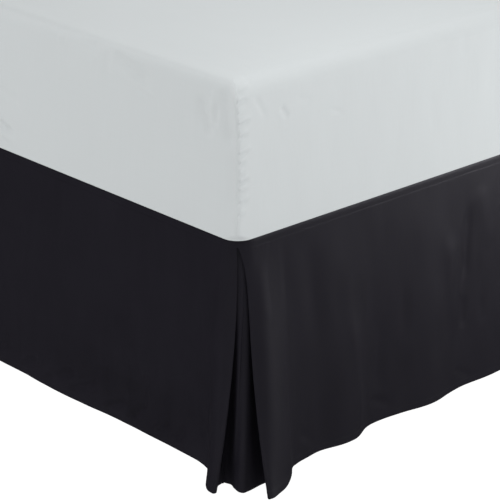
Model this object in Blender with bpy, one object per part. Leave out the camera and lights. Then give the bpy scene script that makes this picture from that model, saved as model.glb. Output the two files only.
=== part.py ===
"""A tailored bed skirt on its bed, with an inverted pleat at each foot corner.

Metres, +Z up, the foot of the bed towards -Y. The skirt is a deck between mattress and box spring, three
drops sewn to the deck's turned-down edge, and an insert behind each corner pleat.

Each half of a drop is worked out in its own flat frame at its foot corner: "along" is the distance from
the sharp corner along the bed's edge, "out" the distance outwards from it. "run" is the distance along the
seam from the pleat's fold, and "fall" goes from 0 at the seam to 1 at the hem.
"""
import math
from collections import namedtuple

import bmesh
import bpy
import numpy as np

# Bed
WIDTH = 1.524
LENGTH = 2.032
MATTRESS_HEIGHT = 0.254
DECK_TOP = 0.416
HEM_CLEARANCE = 0.010
CORNER_RADIUS = 0.038

# Cloth
CLOTH = 0.0015
GAP = 0.0003
PITCH = 0.0021
INSERT_PITCH = 0.0032
ROLL_RADIUS = 0.012
SEAM_DROP = 0.013

# How far the drops stand out past the bed's edge at the hem, which centres the whole on X and Y
LEFT_REACH = 0.062
RIGHT_REACH = 0.054
FOOT_REACH = 0.086

# Box spring and mattress
BOX_INSET = 0.012
BOX_HEIGHT = 0.229
BOX_EDGE = 0.008
BOX_CORNER = 0.045
MATTRESS_INSET = 0.004
MATTRESS_TOP_EDGE = 0.030
MATTRESS_FOOT_EDGE = 0.007
MATTRESS_TOP_STEPS = 5
MATTRESS_FOOT_STEPS = 2
BOX_TOP_STEPS = 3

# Bed frame
RAIL = 0.030
RAIL_INSET = 0.060
END_INSET = 0.100
LEG_RADIUS = 0.016
GLIDE_RADIUS = 0.024
GLIDE_HEIGHT = 0.012
GLIDE_BEVEL = 0.003
GLIDE_NECK = 0.006
LEG_SIDES = 14

# Plain colours
SKIRT_COLOUR = (0.0123, 0.0117, 0.0160)
SHEET_COLOUR = (0.60, 0.63, 0.64)
TICKING_COLOUR = (0.45, 0.43, 0.40)
STEEL_COLOUR = (0.05, 0.05, 0.055)
CLOTH_ROUGHNESS = 0.85

SEAM = DECK_TOP - SEAM_DROP - GAP
DROP = SEAM - HEM_CLEARANCE
LEFT = -(WIDTH + LEFT_REACH + RIGHT_REACH) / 2 + LEFT_REACH
FOOT = -(LENGTH + FOOT_REACH) / 2 + FOOT_REACH
RIGHT = LEFT + WIDTH
HEAD = FOOT + LENGTH
ARC_HALF = CORNER_RADIUS * math.pi / 4
FOLD_START = (PITCH + CLOTH) / 2 + GAP

# A station of a corner lobe: its run from the fold, and its place at the hem past the plain hem line.
Station = namedtuple("Station", "run along out")
# A lobe: its stations, the hem's stand-off, how late it opens, how far its fold slides back just under the
# seam, the fold's width at the hem, the return's depth at seam and hem, how far the return swings in, and
# how full it is.
Lobe = namedtuple("Lobe", "stations stand ramp slide roll seam_depth hem_depth swing fullness")
# A soft vertical fold of a drop: its place from the corner, its reach, and its width before and after.
Fold = namedtuple("Fold", "place reach before after")
# A station of a pleat's insert: its run at the seam, its place at the hem from the sharp corner, and how
# late it swings out to there.
InsertStation = namedtuple("InsertStation", "run side_out foot_out ramp")

SIDE_LOBE = Lobe(
    stations=(
        Station(0.000, -0.0060, 0.0575),
        Station(0.008, 0.0040, 0.0565),
        Station(0.020, 0.0180, 0.0485),
        Station(0.038, 0.0350, 0.0305),
        Station(0.056, 0.0510, 0.0125),
        Station(0.072, 0.0680, 0.0053),
        Station(0.088, 0.0880, 0.0012),
        Station(0.104, 0.1120, 0.0000),
        Station(0.150, 0.1582, 0.0000),
    ),
    stand=0.0035, ramp=1.55, slide=0.0025, roll=0.008,
    seam_depth=0.072, hem_depth=0.037, swing=0.017, fullness=1.0,
)
FOOT_LOBE = Lobe(
    stations=(
        Station(0.000, -0.0060, 0.0780),
        Station(0.006, -0.0005, 0.0790),
        Station(0.022, 0.0190, 0.0740),
        Station(0.040, 0.0390, 0.0670),
        Station(0.056, 0.0570, 0.0560),
        Station(0.072, 0.0760, 0.0410),
        Station(0.086, 0.0940, 0.0240),
        Station(0.098, 0.1070, 0.0193),
        Station(0.133, 0.1410, 0.0133),
        Station(0.158, 0.1660, 0.0076),
        Station(0.190, 0.1982, 0.0044),
        Station(0.232, 0.2402, 0.0000),
        Station(0.260, 0.2682, 0.0000),
    ),
    stand=0.0060, ramp=1.60, slide=0.0070, roll=0.004,
    seam_depth=0.072, hem_depth=0.056, swing=0.022, fullness=1.0,
)
INSERT = (
    InsertStation(-0.056, 0.0215, -0.0035, 1.55),
    InsertStation(-0.040, 0.0180, 0.0050, 1.50),
    InsertStation(-0.022, 0.0235, 0.0200, 1.40),
    InsertStation(-0.008, 0.0260, 0.0340, 1.20),
    InsertStation(-0.002, 0.0230, 0.0395, 1.12),
    InsertStation(0.006, 0.0130, 0.0405, 1.10),
    InsertStation(0.016, -0.0020, 0.0395, 1.20),
    InsertStation(0.030, -0.0140, 0.0382, 1.45),
    InsertStation(0.046, -0.0260, 0.0385, 1.60),
)

# The lobes of the second foot corner are the same, a little less full.
SECOND_SIDE_LOBE = SIDE_LOBE._replace(fullness=0.86)
SECOND_FOOT_LOBE = FOOT_LOBE._replace(fullness=0.82)

LEFT_FOLDS = (
    Fold(0.455, 0.0095, 0.115, 0.110),
    Fold(0.640, 0.0070, 0.095, 0.120),
    Fold(1.060, 0.0080, 0.130, 0.090),
    Fold(1.420, 0.0050, 0.080, 0.120),
    Fold(1.720, 0.0090, 0.120, 0.080),
)
FOOT_LEFT_FOLDS = (
    Fold(0.238, 0.0210, 0.060, 0.034),
    Fold(0.435, 0.0130, 0.055, 0.050),
    Fold(0.590, 0.0060, 0.070, 0.080),
)
FOOT_RIGHT_FOLDS = (
    Fold(0.290, 0.0150, 0.060, 0.045),
    Fold(0.500, 0.0090, 0.070, 0.090),
)
RIGHT_FOLDS = (
    Fold(0.330, 0.0110, 0.080, 0.060),
    Fold(0.760, 0.0080, 0.110, 0.130),
    Fold(1.180, 0.0090, 0.090, 0.100),
    Fold(1.600, 0.0060, 0.110, 0.100),
)
FOLD_RAMP = 1.3
RETURN_RAMP = 3

# A return follows its face's path in fine steps, and what hangs behind the return is kept clear of its line
# up to this share of a step past it.
FACE_TRACE = 0.14
FACE_TRACE_COUNT = 281
BESIDE = 0.2
CLEARING_PASSES = 3
# How far an insert's edge turns round the return's inner edge it is sewn to, closed at the seam and open
CLOSED_WRAP = 0.0007
OPEN_WRAP = 0.0040
WRAP_STEPS = 3

# Columns of a drop's half, as runs from the fold, and rows, as shares of the fall
CORNER_RUNS = (0, 0.004, 0.009, 0.015, 0.022, 0.029, 0.037, 0.047, 0.058,
               0.072, 0.088, 0.106, 0.132, 0.165, 0.200)
SIDE_STEP = 0.060
FOOT_STEP = 0.040
ROLL_STEPS = 5
ROWS = (0, 0.05, 0.11, 0.19, 0.28, 0.38, 0.48, 0.58, 0.68, 0.78, 0.87, 0.94, 1.0)
TURN_STEPS = 6
TURN_MARGIN = 0.005
RETURN_COLUMNS = 9
INSERT_COLUMNS = 25
CORNER_STEPS = 8


def clear_scene():
    """Take away whatever the file holds."""
    for item in list(bpy.data.objects):
        bpy.data.objects.remove(item, do_unlink=True)


def finish(name, colour, roughness, metallic=0.0):
    """A plain material for one sub-part."""
    material = bpy.data.materials.new(name + "_finish")
    material.use_nodes = True
    shader = material.node_tree.nodes["Principled BSDF"]
    shader.inputs["Base Color"].default_value = (*colour, 1.0)
    shader.inputs["Roughness"].default_value = roughness
    shader.inputs["Metallic"].default_value = metallic
    return material


def add_object(name, vertices, faces, material):
    """A mesh object whose faces are turned outwards and shaded smooth."""
    mesh = bpy.data.meshes.new(name)
    mesh.from_pydata([tuple(point) for point in vertices], [], faces)
    work = bmesh.new()
    work.from_mesh(mesh)
    bmesh.ops.recalc_face_normals(work, faces=work.faces)
    work.to_mesh(mesh)
    work.free()
    mesh.shade_smooth()
    mesh.set_sharp_from_angle(angle=math.radians(35))
    item = bpy.data.objects.new(name, mesh)
    item.data.materials.append(material)
    bpy.context.collection.objects.link(item)
    return item


def curve_through(knots, values, at):
    """Smooth curve through rows of values at rising knots: cubic pieces, tangents from both sides."""
    knots = np.asarray(knots, float)
    values = np.asarray(values, float)
    width = np.diff(knots)
    slope = np.diff(values, axis=0) / width[:, None]
    tangent = np.vstack([slope[:1], slope[:1], slope[1:]])
    before = width[:-1, None]
    after = width[1:, None]
    tangent[1:-1] = (slope[:-1] * after + slope[1:] * before) / (before + after)
    at = np.clip(at, knots[0], knots[-1])
    cell = np.clip(np.searchsorted(knots, at, side="right") - 1, 0, len(width) - 1)
    span = width[cell][:, None]
    s = (at - knots[cell])[:, None] / span
    return ((2 * s**3 - 3 * s**2 + 1) * values[cell]
            + (s**3 - 2 * s**2 + s) * span * tangent[cell]
            + (3 * s**2 - 2 * s**3) * values[cell + 1]
            + (s**3 - s**2) * span * tangent[cell + 1])


def seam_line(run, depth):
    """(along, out) on the seam's outline, a straight with half the rounded corner, inside it by a depth."""
    turn = np.clip(math.pi / 4 - run / CORNER_RADIUS, 0, None)
    radius = CORNER_RADIUS - depth
    straight = run > ARC_HALF
    along = np.where(straight, CORNER_RADIUS + run - ARC_HALF, CORNER_RADIUS - radius * np.sin(turn))
    out = np.where(straight, -depth, radius * np.cos(turn) - CORNER_RADIUS)
    return np.stack([along, out], axis=1)


def fold_reach(folds, along):
    """How far the soft folds stand out at the hem, each a bell with its own width on either side."""
    total = np.zeros_like(along)
    for fold in folds:
        width = np.where(along < fold.place, fold.before, fold.after)
        total += fold.reach * np.exp(-((along - fold.place) / width) ** 2)
    return total


def drop_face(lobe, folds, fall, run):
    """(along, out) of a drop's cloth at mid-thickness: the seam line above, the lobe and folds below."""
    slide = lobe.slide * (1 - (1 - fall) ** 5)
    closed = seam_line(FOLD_START + slide + run, CLOTH / 2)
    table = np.array(lobe.stations)
    hem = curve_through(table[:, 0], table[:, 1:], run)
    plain = run > table[-1, 0]
    hem[plain, 0] = CORNER_RADIUS - ARC_HALF + run[plain]
    share = lobe.fullness * fall ** lobe.ramp
    place = closed * (1 - share) + hem * share
    stand = lobe.stand + fold_reach(folds, place[:, 0])
    place[:, 1] += stand * fall ** FOLD_RAMP - CLOTH / 2 * share
    return place


def right_normals(path):
    """Unit normals to the right of a path's travel."""
    travel = np.gradient(path, axis=0)
    travel /= np.linalg.norm(travel, axis=1)[:, None]
    return np.stack([travel[:, 1], -travel[:, 0]], axis=1)


def path_length(path):
    """Distance along a path at each of its points."""
    steps = np.linalg.norm(np.diff(path, axis=0), axis=1)
    return np.concatenate([[0.0], np.cumsum(steps)])


def drop_return(lobe, folds, fall):
    """The fold's round turn, then the return behind the face, and the return's normals into the bed."""
    face = drop_face(lobe, folds, fall, np.linspace(0, FACE_TRACE, FACE_TRACE_COUNT))
    inward = right_normals(face)
    length = path_length(face)
    share = lobe.fullness * fall ** lobe.ramp
    opening = lobe.fullness * fall ** RETURN_RAMP
    depth = lobe.seam_depth * (1 - share) + lobe.hem_depth * share
    roll = PITCH * (1 - opening) + lobe.roll * opening
    spread = np.linspace(0, 1, RETURN_COLUMNS)
    at = spread * depth
    place = np.stack([np.interp(at, length, face[:, axis]) for axis in (0, 1)], axis=1)
    normal = np.stack([np.interp(at, length, inward[:, axis]) for axis in (0, 1)], axis=1)
    normal /= np.linalg.norm(normal, axis=1)[:, None]
    back = place + normal * (roll + opening * lobe.swing * spread)[:, None]
    travel = (face[1] - face[0]) / np.linalg.norm(face[1] - face[0])
    angle = np.linspace(0, math.pi, TURN_STEPS + 1)[1:-1, None]
    centre = face[0] + inward[0] * roll / 2
    turn = centre - roll / 2 * (inward[0] * np.cos(angle) + travel * np.sin(angle))
    return turn, back, normal


def side_plan(points):
    """(along, out) of the bed's long side as plan x, y from the sharp corner."""
    return np.stack([-points[:, 1], points[:, 0]], axis=1)


def foot_plan(points):
    """(along, out) of the bed's foot as plan x, y from the sharp corner."""
    return np.stack([points[:, 0], -points[:, 1]], axis=1)


def keep_behind(points, sheet, normal, clear):
    """Push points into the bed until they lie a clearance behind a sheet, seen along its normals."""
    start = sheet[:-1]
    step = sheet[1:] - start
    share = ((points[:, None] - start) * step).sum(axis=2) / (step**2).sum(axis=1)
    inside = np.clip(share, 0, 1)
    nearest = start + inside[..., None] * step
    distance = np.linalg.norm(points[:, None] - nearest, axis=2)
    pick = distance.argmin(axis=1)
    row = np.arange(len(points))
    near = nearest[row, pick]
    part = inside[row, pick][:, None]
    facing = normal[pick] * (1 - part) + normal[pick + 1] * part
    behind = ((points - near) * facing).sum(axis=1)
    beside = np.abs(share[row, pick] - inside[row, pick]) < BESIDE
    push = np.where(beside, np.clip(clear - behind, 0, None), 0)
    return points + facing * push[:, None]


def lengthened(sheet, normal):
    """Lengthen a return's path a little past its fold and its inner edge, for what must clear its ends."""
    outwards = (sheet[0] - sheet[1]) / np.linalg.norm(sheet[0] - sheet[1])
    inwards = (sheet[-1] - sheet[-2]) / np.linalg.norm(sheet[-1] - sheet[-2])
    path = np.vstack([sheet[0] + outwards * TURN_MARGIN, sheet, sheet[-1] + inwards * TURN_MARGIN])
    return path, np.vstack([normal[0], normal, normal[-1]])


def sewn_edge(sheet, normal, wrap):
    """Plan of an insert's edge, from beside the return's inner edge round it to a little way past it."""
    inwards = (sheet[-1] - sheet[-2]) / np.linalg.norm(sheet[-1] - sheet[-2])
    angle = np.linspace(0, math.pi / 2, WRAP_STEPS + 1)[:, None]
    bend = sheet[-1] + INSERT_PITCH * (normal[-1] * np.cos(angle) + inwards * np.sin(angle))
    return np.vstack([bend, bend[-1] - normal[-1] * wrap])


def corner_insert(side_lobe, foot_lobe, side_folds, foot_folds, fall):
    """Plan of the insert's middle: behind both returns at the seam, swelling out between the folds below."""
    side_back, side_normal = drop_return(side_lobe, side_folds, fall)[1:]
    foot_back, foot_normal = drop_return(foot_lobe, foot_folds, fall)[1:]
    side_back = side_plan(side_back)
    foot_back = foot_plan(foot_back)
    side_normal = side_plan(side_normal)
    foot_normal = foot_plan(foot_normal)
    fullness = min(side_lobe.fullness, foot_lobe.fullness)
    table = np.array(INSERT)
    run = table[:, 0]
    depth = CLOTH / 2 + PITCH + INSERT_PITCH
    on_side = (run < 0)[:, None]
    closed = np.where(on_side, side_plan(seam_line(-run, depth)), foot_plan(seam_line(run, depth)))
    share = fullness * fall ** table[:, 3:]
    middle = closed * (1 - share) - table[:, 1:3] * share
    wrap = CLOSED_WRAP + (OPEN_WRAP - CLOSED_WRAP) * fullness * fall ** RETURN_RAMP
    side_edge = sewn_edge(side_back, side_normal, wrap)
    foot_edge = sewn_edge(foot_back, foot_normal, wrap)
    knots = np.concatenate([[-side_lobe.seam_depth], run, [foot_lobe.seam_depth]])
    places = np.vstack([side_edge[0], middle, foot_edge[0]])
    path = curve_through(knots, places, np.linspace(knots[0], knots[-1], INSERT_COLUMNS))[1:-1]
    side_back, side_normal = lengthened(side_back, side_normal)
    foot_back, foot_normal = lengthened(foot_back, foot_normal)
    for _ in range(CLEARING_PASSES):
        path = keep_behind(path, side_back, side_normal, INSERT_PITCH)
        path = keep_behind(path, foot_back, foot_normal, INSERT_PITCH)
    return np.vstack([side_edge[::-1], path, foot_edge])


def hang(name, rows_of_paths, material):
    """A closed sheet from one plan path for each row, the cloth's thickness to both sides of the path."""
    outer = []
    inner = []
    for fall, path in zip(ROWS, rows_of_paths):
        side = right_normals(path) * CLOTH / 2
        height = np.full((len(path), 1), SEAM - DROP * fall)
        outer.append(np.hstack([path + side, height]))
        inner.append(np.hstack([path - side, height]))
    rows = len(outer)
    columns = len(outer[0])
    back = rows * columns
    index = np.arange(back).reshape(rows, columns)
    cells = np.stack([index[:-1, :-1], index[:-1, 1:], index[1:, 1:], index[1:, :-1]], axis=-1)
    cells = cells.reshape(-1, 4)
    faces = cells.tolist() + (cells[:, ::-1] + back).tolist()
    for line in (index[0], index[-1, ::-1], index[:, -1], index[::-1, 0]):
        faces += np.stack([line[1:], line[:-1], line[:-1] + back, line[1:] + back], axis=1).tolist()
    return add_object(name, np.vstack(outer + inner), faces, material)


def side_runs():
    """Runs of a long side's columns, close together at the pleat."""
    last = LENGTH - CORNER_RADIUS + ARC_HALF - FOLD_START
    count = round((last - CORNER_RUNS[-1]) / SIDE_STEP)
    return np.concatenate([CORNER_RUNS[:-1], np.linspace(CORNER_RUNS[-1], last, count + 1)])


def foot_runs():
    """Runs of half the foot's columns, from a pleat to the middle."""
    last = WIDTH / 2 - CORNER_RADIUS + ARC_HALF - FOLD_START
    count = round((last - CORNER_RUNS[-1]) / FOOT_STEP)
    return np.concatenate([CORNER_RUNS[:-1], np.linspace(CORNER_RUNS[-1], last, count + 1)])


def half_path(lobe, folds, fall, runs, plan):
    """Plan path of a drop's half, from the return's inner edge round the fold and along the face."""
    turn, back, normal = drop_return(lobe, folds, fall)
    face = drop_face(lobe, folds, fall, runs)
    return plan(np.vstack([back[::-1], turn[::-1], face]))


def square_end(path, end, axis):
    """Set a path's last point on a straight line across it."""
    path[-1, axis] = end
    return path


def at_left_corner(path):
    """Plan from the left foot corner as the bed's own x, y."""
    return path + (LEFT, FOOT)


def at_right_corner(path):
    """Plan from the right foot corner, mirrored, as the bed's own x, y."""
    return path * (-1, 1) + (RIGHT, FOOT)


def make_drops():
    """The three drops."""
    runs = side_runs()
    left = []
    right = []
    for fall in ROWS:
        path = half_path(SIDE_LOBE, LEFT_FOLDS, fall, runs, side_plan)
        left.append(at_left_corner(square_end(path, LENGTH, 1)))
        path = half_path(SECOND_SIDE_LOBE, RIGHT_FOLDS, fall, runs, side_plan)
        right.append(at_right_corner(square_end(path, LENGTH, 1)))
    hang("drop_left", left, finish("drop_left", SKIRT_COLOUR, CLOTH_ROUGHNESS))
    hang("drop_right", right, finish("drop_right", SKIRT_COLOUR, CLOTH_ROUGHNESS))
    runs = foot_runs()
    foot = []
    for fall in ROWS:
        near = half_path(FOOT_LOBE, FOOT_LEFT_FOLDS, fall, runs, foot_plan)
        far = half_path(SECOND_FOOT_LOBE, FOOT_RIGHT_FOLDS, fall, runs, foot_plan)
        middle = (WIDTH / 2, (near[-1, 1] + far[-1, 1]) / 2)
        path = np.vstack([near[:-1], middle, (far[:-1] * (-1, 1) + (WIDTH, 0))[::-1]])
        foot.append(at_left_corner(path))
    hang("drop_foot", foot, finish("drop_foot", SKIRT_COLOUR, CLOTH_ROUGHNESS))


def make_inserts():
    """The two pleat inserts."""
    left = []
    right = []
    for fall in ROWS:
        path = corner_insert(SIDE_LOBE, FOOT_LOBE, LEFT_FOLDS, FOOT_LEFT_FOLDS, fall)
        left.append(at_left_corner(path))
        path = corner_insert(SECOND_SIDE_LOBE, SECOND_FOOT_LOBE, RIGHT_FOLDS, FOOT_RIGHT_FOLDS, fall)
        right.append(at_right_corner(path))
    hang("insert_left", left, finish("insert_left", SKIRT_COLOUR, CLOTH_ROUGHNESS))
    hang("insert_right", right, finish("insert_right", SKIRT_COLOUR, CLOTH_ROUGHNESS))


def corner_arc(centre, radius, start):
    """Points of a quarter circle in plan, from a start angle, turning left."""
    angle = start + np.linspace(0, math.pi / 2, CORNER_STEPS + 1)
    return np.stack([centre[0] + radius * np.cos(angle), centre[1] + radius * np.sin(angle)], axis=1)


def bed_outline(inset, corner, open_head=False):
    """The bed's rounded rectangle, inset, from the head's left down round the foot to the head's right."""
    left = LEFT + inset
    right = RIGHT - inset
    foot = FOOT + inset
    head = HEAD - inset
    near = corner_arc((left + corner, foot + corner), corner, math.pi)
    far = corner_arc((right - corner, foot + corner), corner, 1.5 * math.pi)
    if open_head:
        return np.vstack([[(left, HEAD)], near, far, [(right, HEAD)]])
    head_right = corner_arc((right - corner, head - corner), corner, 0)
    head_left = corner_arc((left + corner, head - corner), corner, math.pi / 2)
    return np.vstack([near, far, head_right, head_left])


def ring_faces(rings, count):
    """Faces of a closed solid of stacked rings of points: both ends and the bands between."""
    faces = [tuple(range(count))[::-1]]
    for level in range(rings - 1):
        low = level * count
        for i in range(count):
            j = (i + 1) % count
            faces.append((low + i, low + j, low + count + j, low + count + i))
    top = (rings - 1) * count
    faces.append(tuple(range(top, top + count)))
    return faces


def slab(name, profile, corner, material):
    """A closed block of rounded rectangles, one for each (inset, height) of its profile, from below up."""
    widest = min(inset for inset, height in profile)
    rings = []
    for inset, height in profile:
        outline = bed_outline(inset, corner - (inset - widest))
        rings.append(np.column_stack([outline, np.full(len(outline), height)]))
    return add_object(name, np.vstack(rings), ring_faces(len(rings), len(rings[0])), material)


def top_round(inset, level, radius, steps):
    """Profile of a rounded top edge: a quarter circle from the side face up to a level."""
    angle = np.linspace(0, math.pi / 2, steps + 1)
    insets = inset + radius * (1 - np.cos(angle))
    heights = level - radius * (1 - np.sin(angle))
    return list(zip(insets, heights))


def foot_round(inset, level, radius, steps):
    """Profile of a rounded bottom edge: a quarter circle from a level up to the side face."""
    return [(place, 2 * level - height) for place, height in top_round(inset, level, radius, steps)[::-1]]


def make_bedding():
    """The mattress and the box spring."""
    bottom = DECK_TOP + GAP
    profile = foot_round(MATTRESS_INSET, bottom, MATTRESS_FOOT_EDGE, MATTRESS_FOOT_STEPS)
    profile += top_round(MATTRESS_INSET, bottom + MATTRESS_HEIGHT, MATTRESS_TOP_EDGE, MATTRESS_TOP_STEPS)
    sheet = finish("mattress", SHEET_COLOUR, CLOTH_ROUGHNESS)
    slab("mattress", profile, CORNER_RADIUS - MATTRESS_INSET, sheet)
    top = DECK_TOP - CLOTH - GAP
    profile = foot_round(BOX_INSET, top - BOX_HEIGHT, BOX_EDGE, 1)
    profile += top_round(BOX_INSET, top, BOX_EDGE, BOX_TOP_STEPS)
    ticking = finish("box_spring", TICKING_COLOUR, CLOTH_ROUGHNESS)
    slab("box_spring", profile, BOX_CORNER, ticking)


def deck_side(roll, inset):
    """Rings of one side of the deck's cloth: the edge of its flat, the rolled edge, and the lip's end."""
    angle = np.linspace(0, math.pi / 2, ROLL_STEPS + 1)
    insets = np.append(ROLL_RADIUS - roll * np.sin(angle), inset)
    heights = np.append(DECK_TOP - ROLL_RADIUS + roll * np.cos(angle), DECK_TOP - SEAM_DROP)
    rings = []
    for place, height in zip(insets, heights):
        outline = bed_outline(place, CORNER_RADIUS - place, open_head=True)
        rings.append(np.column_stack([outline, np.full(len(outline), height)]))
    return rings


def make_deck():
    """The deck: flat on the box spring, rolled over three edges down to the seam, flat at the head."""
    outer = deck_side(ROLL_RADIUS, 0.0)
    inner = deck_side(ROLL_RADIUS - CLOTH, CLOTH)
    count = len(outer[0])
    levels = len(outer)
    back = levels * count
    faces = [tuple(range(count)), tuple(range(back, back + count))[::-1]]
    for level in range(levels - 1):
        low = level * count
        for i in range(count - 1):
            a = low + i
            b = a + count
            faces.append((a + 1, a, b, b + 1))
            faces.append((back + a, back + a + 1, back + b + 1, back + b))
        for a in (low, low + count - 1):
            faces.append((a, a + count, back + a + count, back + a))
    lip = (levels - 1) * count
    for a in range(lip, lip + count - 1):
        faces.append((a + 1, a, back + a, back + a + 1))
    faces.append((0, count - 1, back + count - 1, back))
    add_object("deck", np.vstack(outer + inner), faces, finish("deck", SKIRT_COLOUR, CLOTH_ROUGHNESS))


def bar(name, low, high, material):
    """A straight square bar between two corners."""
    corners = [(x, y, z) for z in (low[2], high[2]) for y in (low[1], high[1]) for x in (low[0], high[0])]
    faces = [(0, 2, 3, 1), (4, 5, 7, 6), (0, 1, 5, 4), (2, 6, 7, 3), (0, 4, 6, 2), (1, 3, 7, 5)]
    return add_object(name, corners, faces, material)


def leg(name, centre, top, material):
    """A round leg on a wider glide."""
    profile = (
        (GLIDE_RADIUS - GLIDE_BEVEL, 0.0),
        (GLIDE_RADIUS, GLIDE_BEVEL),
        (GLIDE_RADIUS, GLIDE_HEIGHT),
        (LEG_RADIUS, GLIDE_HEIGHT + GLIDE_NECK),
        (LEG_RADIUS, top),
    )
    angle = np.arange(LEG_SIDES) * 2 * math.pi / LEG_SIDES
    rings = []
    for radius, height in profile:
        x = centre[0] + radius * np.cos(angle)
        y = centre[1] + radius * np.sin(angle)
        rings.append(np.column_stack([x, y, np.full(LEG_SIDES, height)]))
    return add_object(name, np.vstack(rings), ring_faces(len(profile), LEG_SIDES), material)


def make_frame():
    """Two side rails, three cross rails and a leg under each end of each cross rail."""
    steel = finish("frame", STEEL_COLOUR, 0.5, 0.8)
    top = DECK_TOP - CLOTH - BOX_HEIGHT - 2 * GAP
    foot_end = FOOT + END_INSET
    head_end = HEAD - END_INSET
    left = LEFT + RAIL_INSET
    right = RIGHT - RAIL_INSET - RAIL
    bar("rail_left", (left, foot_end, top - RAIL), (left + RAIL, head_end, top), steel)
    bar("rail_right", (right, foot_end, top - RAIL), (right + RAIL, head_end, top), steel)
    places = {
        "foot": foot_end,
        "middle": (foot_end + head_end - RAIL) / 2,
        "head": head_end - RAIL,
    }
    for place, y in places.items():
        low = (left + RAIL + GAP, y, top - RAIL)
        high = (right - GAP, y + RAIL, top)
        bar("cross_rail_" + place, low, high, steel)
        leg("leg_" + place + "_left", (left + RAIL / 2, y + RAIL / 2), top - RAIL - GAP, steel)
        leg("leg_" + place + "_right", (right + RAIL / 2, y + RAIL / 2), top - RAIL - GAP, steel)


clear_scene()
make_bedding()
make_deck()
make_drops()
make_inserts()
make_frame()
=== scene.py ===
"""Looks of a tailored bed skirt on its bed: black brushed microfibre, an open pleat at each foot corner.

Metres, +Z up, the foot of the bed towards -Y. Each half of a drop is worked out in a flat frame at its foot
corner: "along" is the distance from the sharp corner along the bed's edge, "out" the distance outwards from
it. "run" is the distance along the seam from the pleat's fold, "fall" goes from 0 at the seam to 1 at the
hem, and "rise" is the height above the hem.
"""

import math
from collections import namedtuple

import bpy
import numpy as np
from bpy.props import FloatProperty, FloatVectorProperty, IntProperty, PointerProperty
from mathutils import Matrix, Vector


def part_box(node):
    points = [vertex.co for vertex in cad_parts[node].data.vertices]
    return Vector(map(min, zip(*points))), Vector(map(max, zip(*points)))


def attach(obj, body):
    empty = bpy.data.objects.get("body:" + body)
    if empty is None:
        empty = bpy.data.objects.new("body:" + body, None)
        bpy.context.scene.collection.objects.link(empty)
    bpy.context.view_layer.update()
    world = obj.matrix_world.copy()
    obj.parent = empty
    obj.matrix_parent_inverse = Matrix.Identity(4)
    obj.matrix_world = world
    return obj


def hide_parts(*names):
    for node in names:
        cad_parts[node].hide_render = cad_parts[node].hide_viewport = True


bl_info = {
    "name": "Bed skirt",
    "version": (1, 0, 0),
    "blender": (4, 5, 0),
    "location": "3D View > Sidebar > Bed skirt",
    "description": "Builds a tailored bed skirt over its mattress, box spring and bed frame",
    "category": "Add Mesh",
}

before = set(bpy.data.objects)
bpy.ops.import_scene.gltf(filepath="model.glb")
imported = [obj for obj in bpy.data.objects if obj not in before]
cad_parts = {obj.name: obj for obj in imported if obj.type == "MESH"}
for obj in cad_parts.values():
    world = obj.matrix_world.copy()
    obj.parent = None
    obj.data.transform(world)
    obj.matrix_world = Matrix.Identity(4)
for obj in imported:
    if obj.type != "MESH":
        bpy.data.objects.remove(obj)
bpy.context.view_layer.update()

# The bed and the cloth's layers, as the solids have them
WIDTH = 1.524
LENGTH = 2.032
DECK_TOP = 0.416
HEM_CLEARANCE = 0.0085
CORNER_RADIUS = 0.038
CLOTH = 0.0015
GAP = 0.0003
PITCH = 0.0015
INSERT_PITCH = 0.0013
ROLL_WIDTH = 0.006
ROLL_HEIGHT = 0.0126
SEAM_INSET = 0.0003
SEAM_DROP = 0.013
LEFT = -0.758
RIGHT = LEFT + WIDTH
FOOT = -0.973
HEAD = FOOT + LENGTH
SEAM = DECK_TOP - SEAM_DROP - GAP
DROP = SEAM - HEM_CLEARANCE
ARC_HALF = CORNER_RADIUS * math.pi / 4

# The pleat: where its folds start beside the corner's middle, the powers of the fall by which the soft folds
# and the returns open, the run over which a fold opens later than its lobe, how soon a fold slides and over
# what run, the stretch of the face that a return copies and its points, and the columns of a return and of
# its fold's turn, first as they are seen and then as the insert is kept clear of them
FOLD_START = 0.0021
FOLD_RAMP = 1.3
RETURN_RAMP = 3
LATE_REACH = 0.016
SLIDE_POWER = 10
SLIDE_REACH = 0.10
FACE_TRACE = 0.14
FACE_TRACE_COUNT = 281
SEEN_COLUMNS = 17
SEEN_TURNS = 10
RETURN_COLUMNS = 25
RETURN_TURNS = 6
# The insert: its half width, its columns, how far its edges reach past the returns' edges where the pleat is
# closed and where it is open, the steps round there, how far a return is lengthened to keep it clear, how
# much of a step beside a return still counts as before it, and how often it is cleared
INSERT_HALF = 0.072
INSERT_COLUMNS = 131
CLOSED_WRAP = 0.0007
OPEN_WRAP = 0.0040
WRAP_STEPS = 4
TURN_MARGIN = 0.005
BESIDE = 0.2
CLEARING_PASSES = 3
# The drops: the steps between their columns and between their rows, and over how far the foot's halves blend
COLUMN_PLACES = (0, 0.024, 0.130)
NEAR_STEPS = (0.0016, 0.0026, 0.0046)
FAR_STEPS = (0.0020, 0.0032, 0.0062)
ROW_STEPS = (0.002, 0.0052, 0.0026, 0.0010, 0.0022)
HALVES_BLEND = 0.12
# Small shapes in the cloth: the puckers' height and reach below a seam, how far the seam sinks and over what
# height, the share of a crease's depth that's left where a return lies behind it and the run over which it
# gets the rest, the run over which a face's shapes come in beside its fold, how far the stitches lie below
# the hem's upper edge, and the radius of the hem's lower edge
PUCKER = 0.00007
PUCKER_REACH = 0.010
SEAM_SINK = 0.0003
SEAM_SINK_REACH = 0.0012
BACKED = 0.12
BACKED_REACH = 0.016
FOLD_SIDE = 0.018
STITCH_LINE = 0.0012
HEM_ROUND = 0.0009
# The deck's roll: how much higher the puckers are on it, and its own wave
DECK_PUCKERS = 1.3
DECK_WAVE = 0.0002
# The least radius of a corner, whatever its inset
SMALLEST_CORNER = 0.0003

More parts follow.
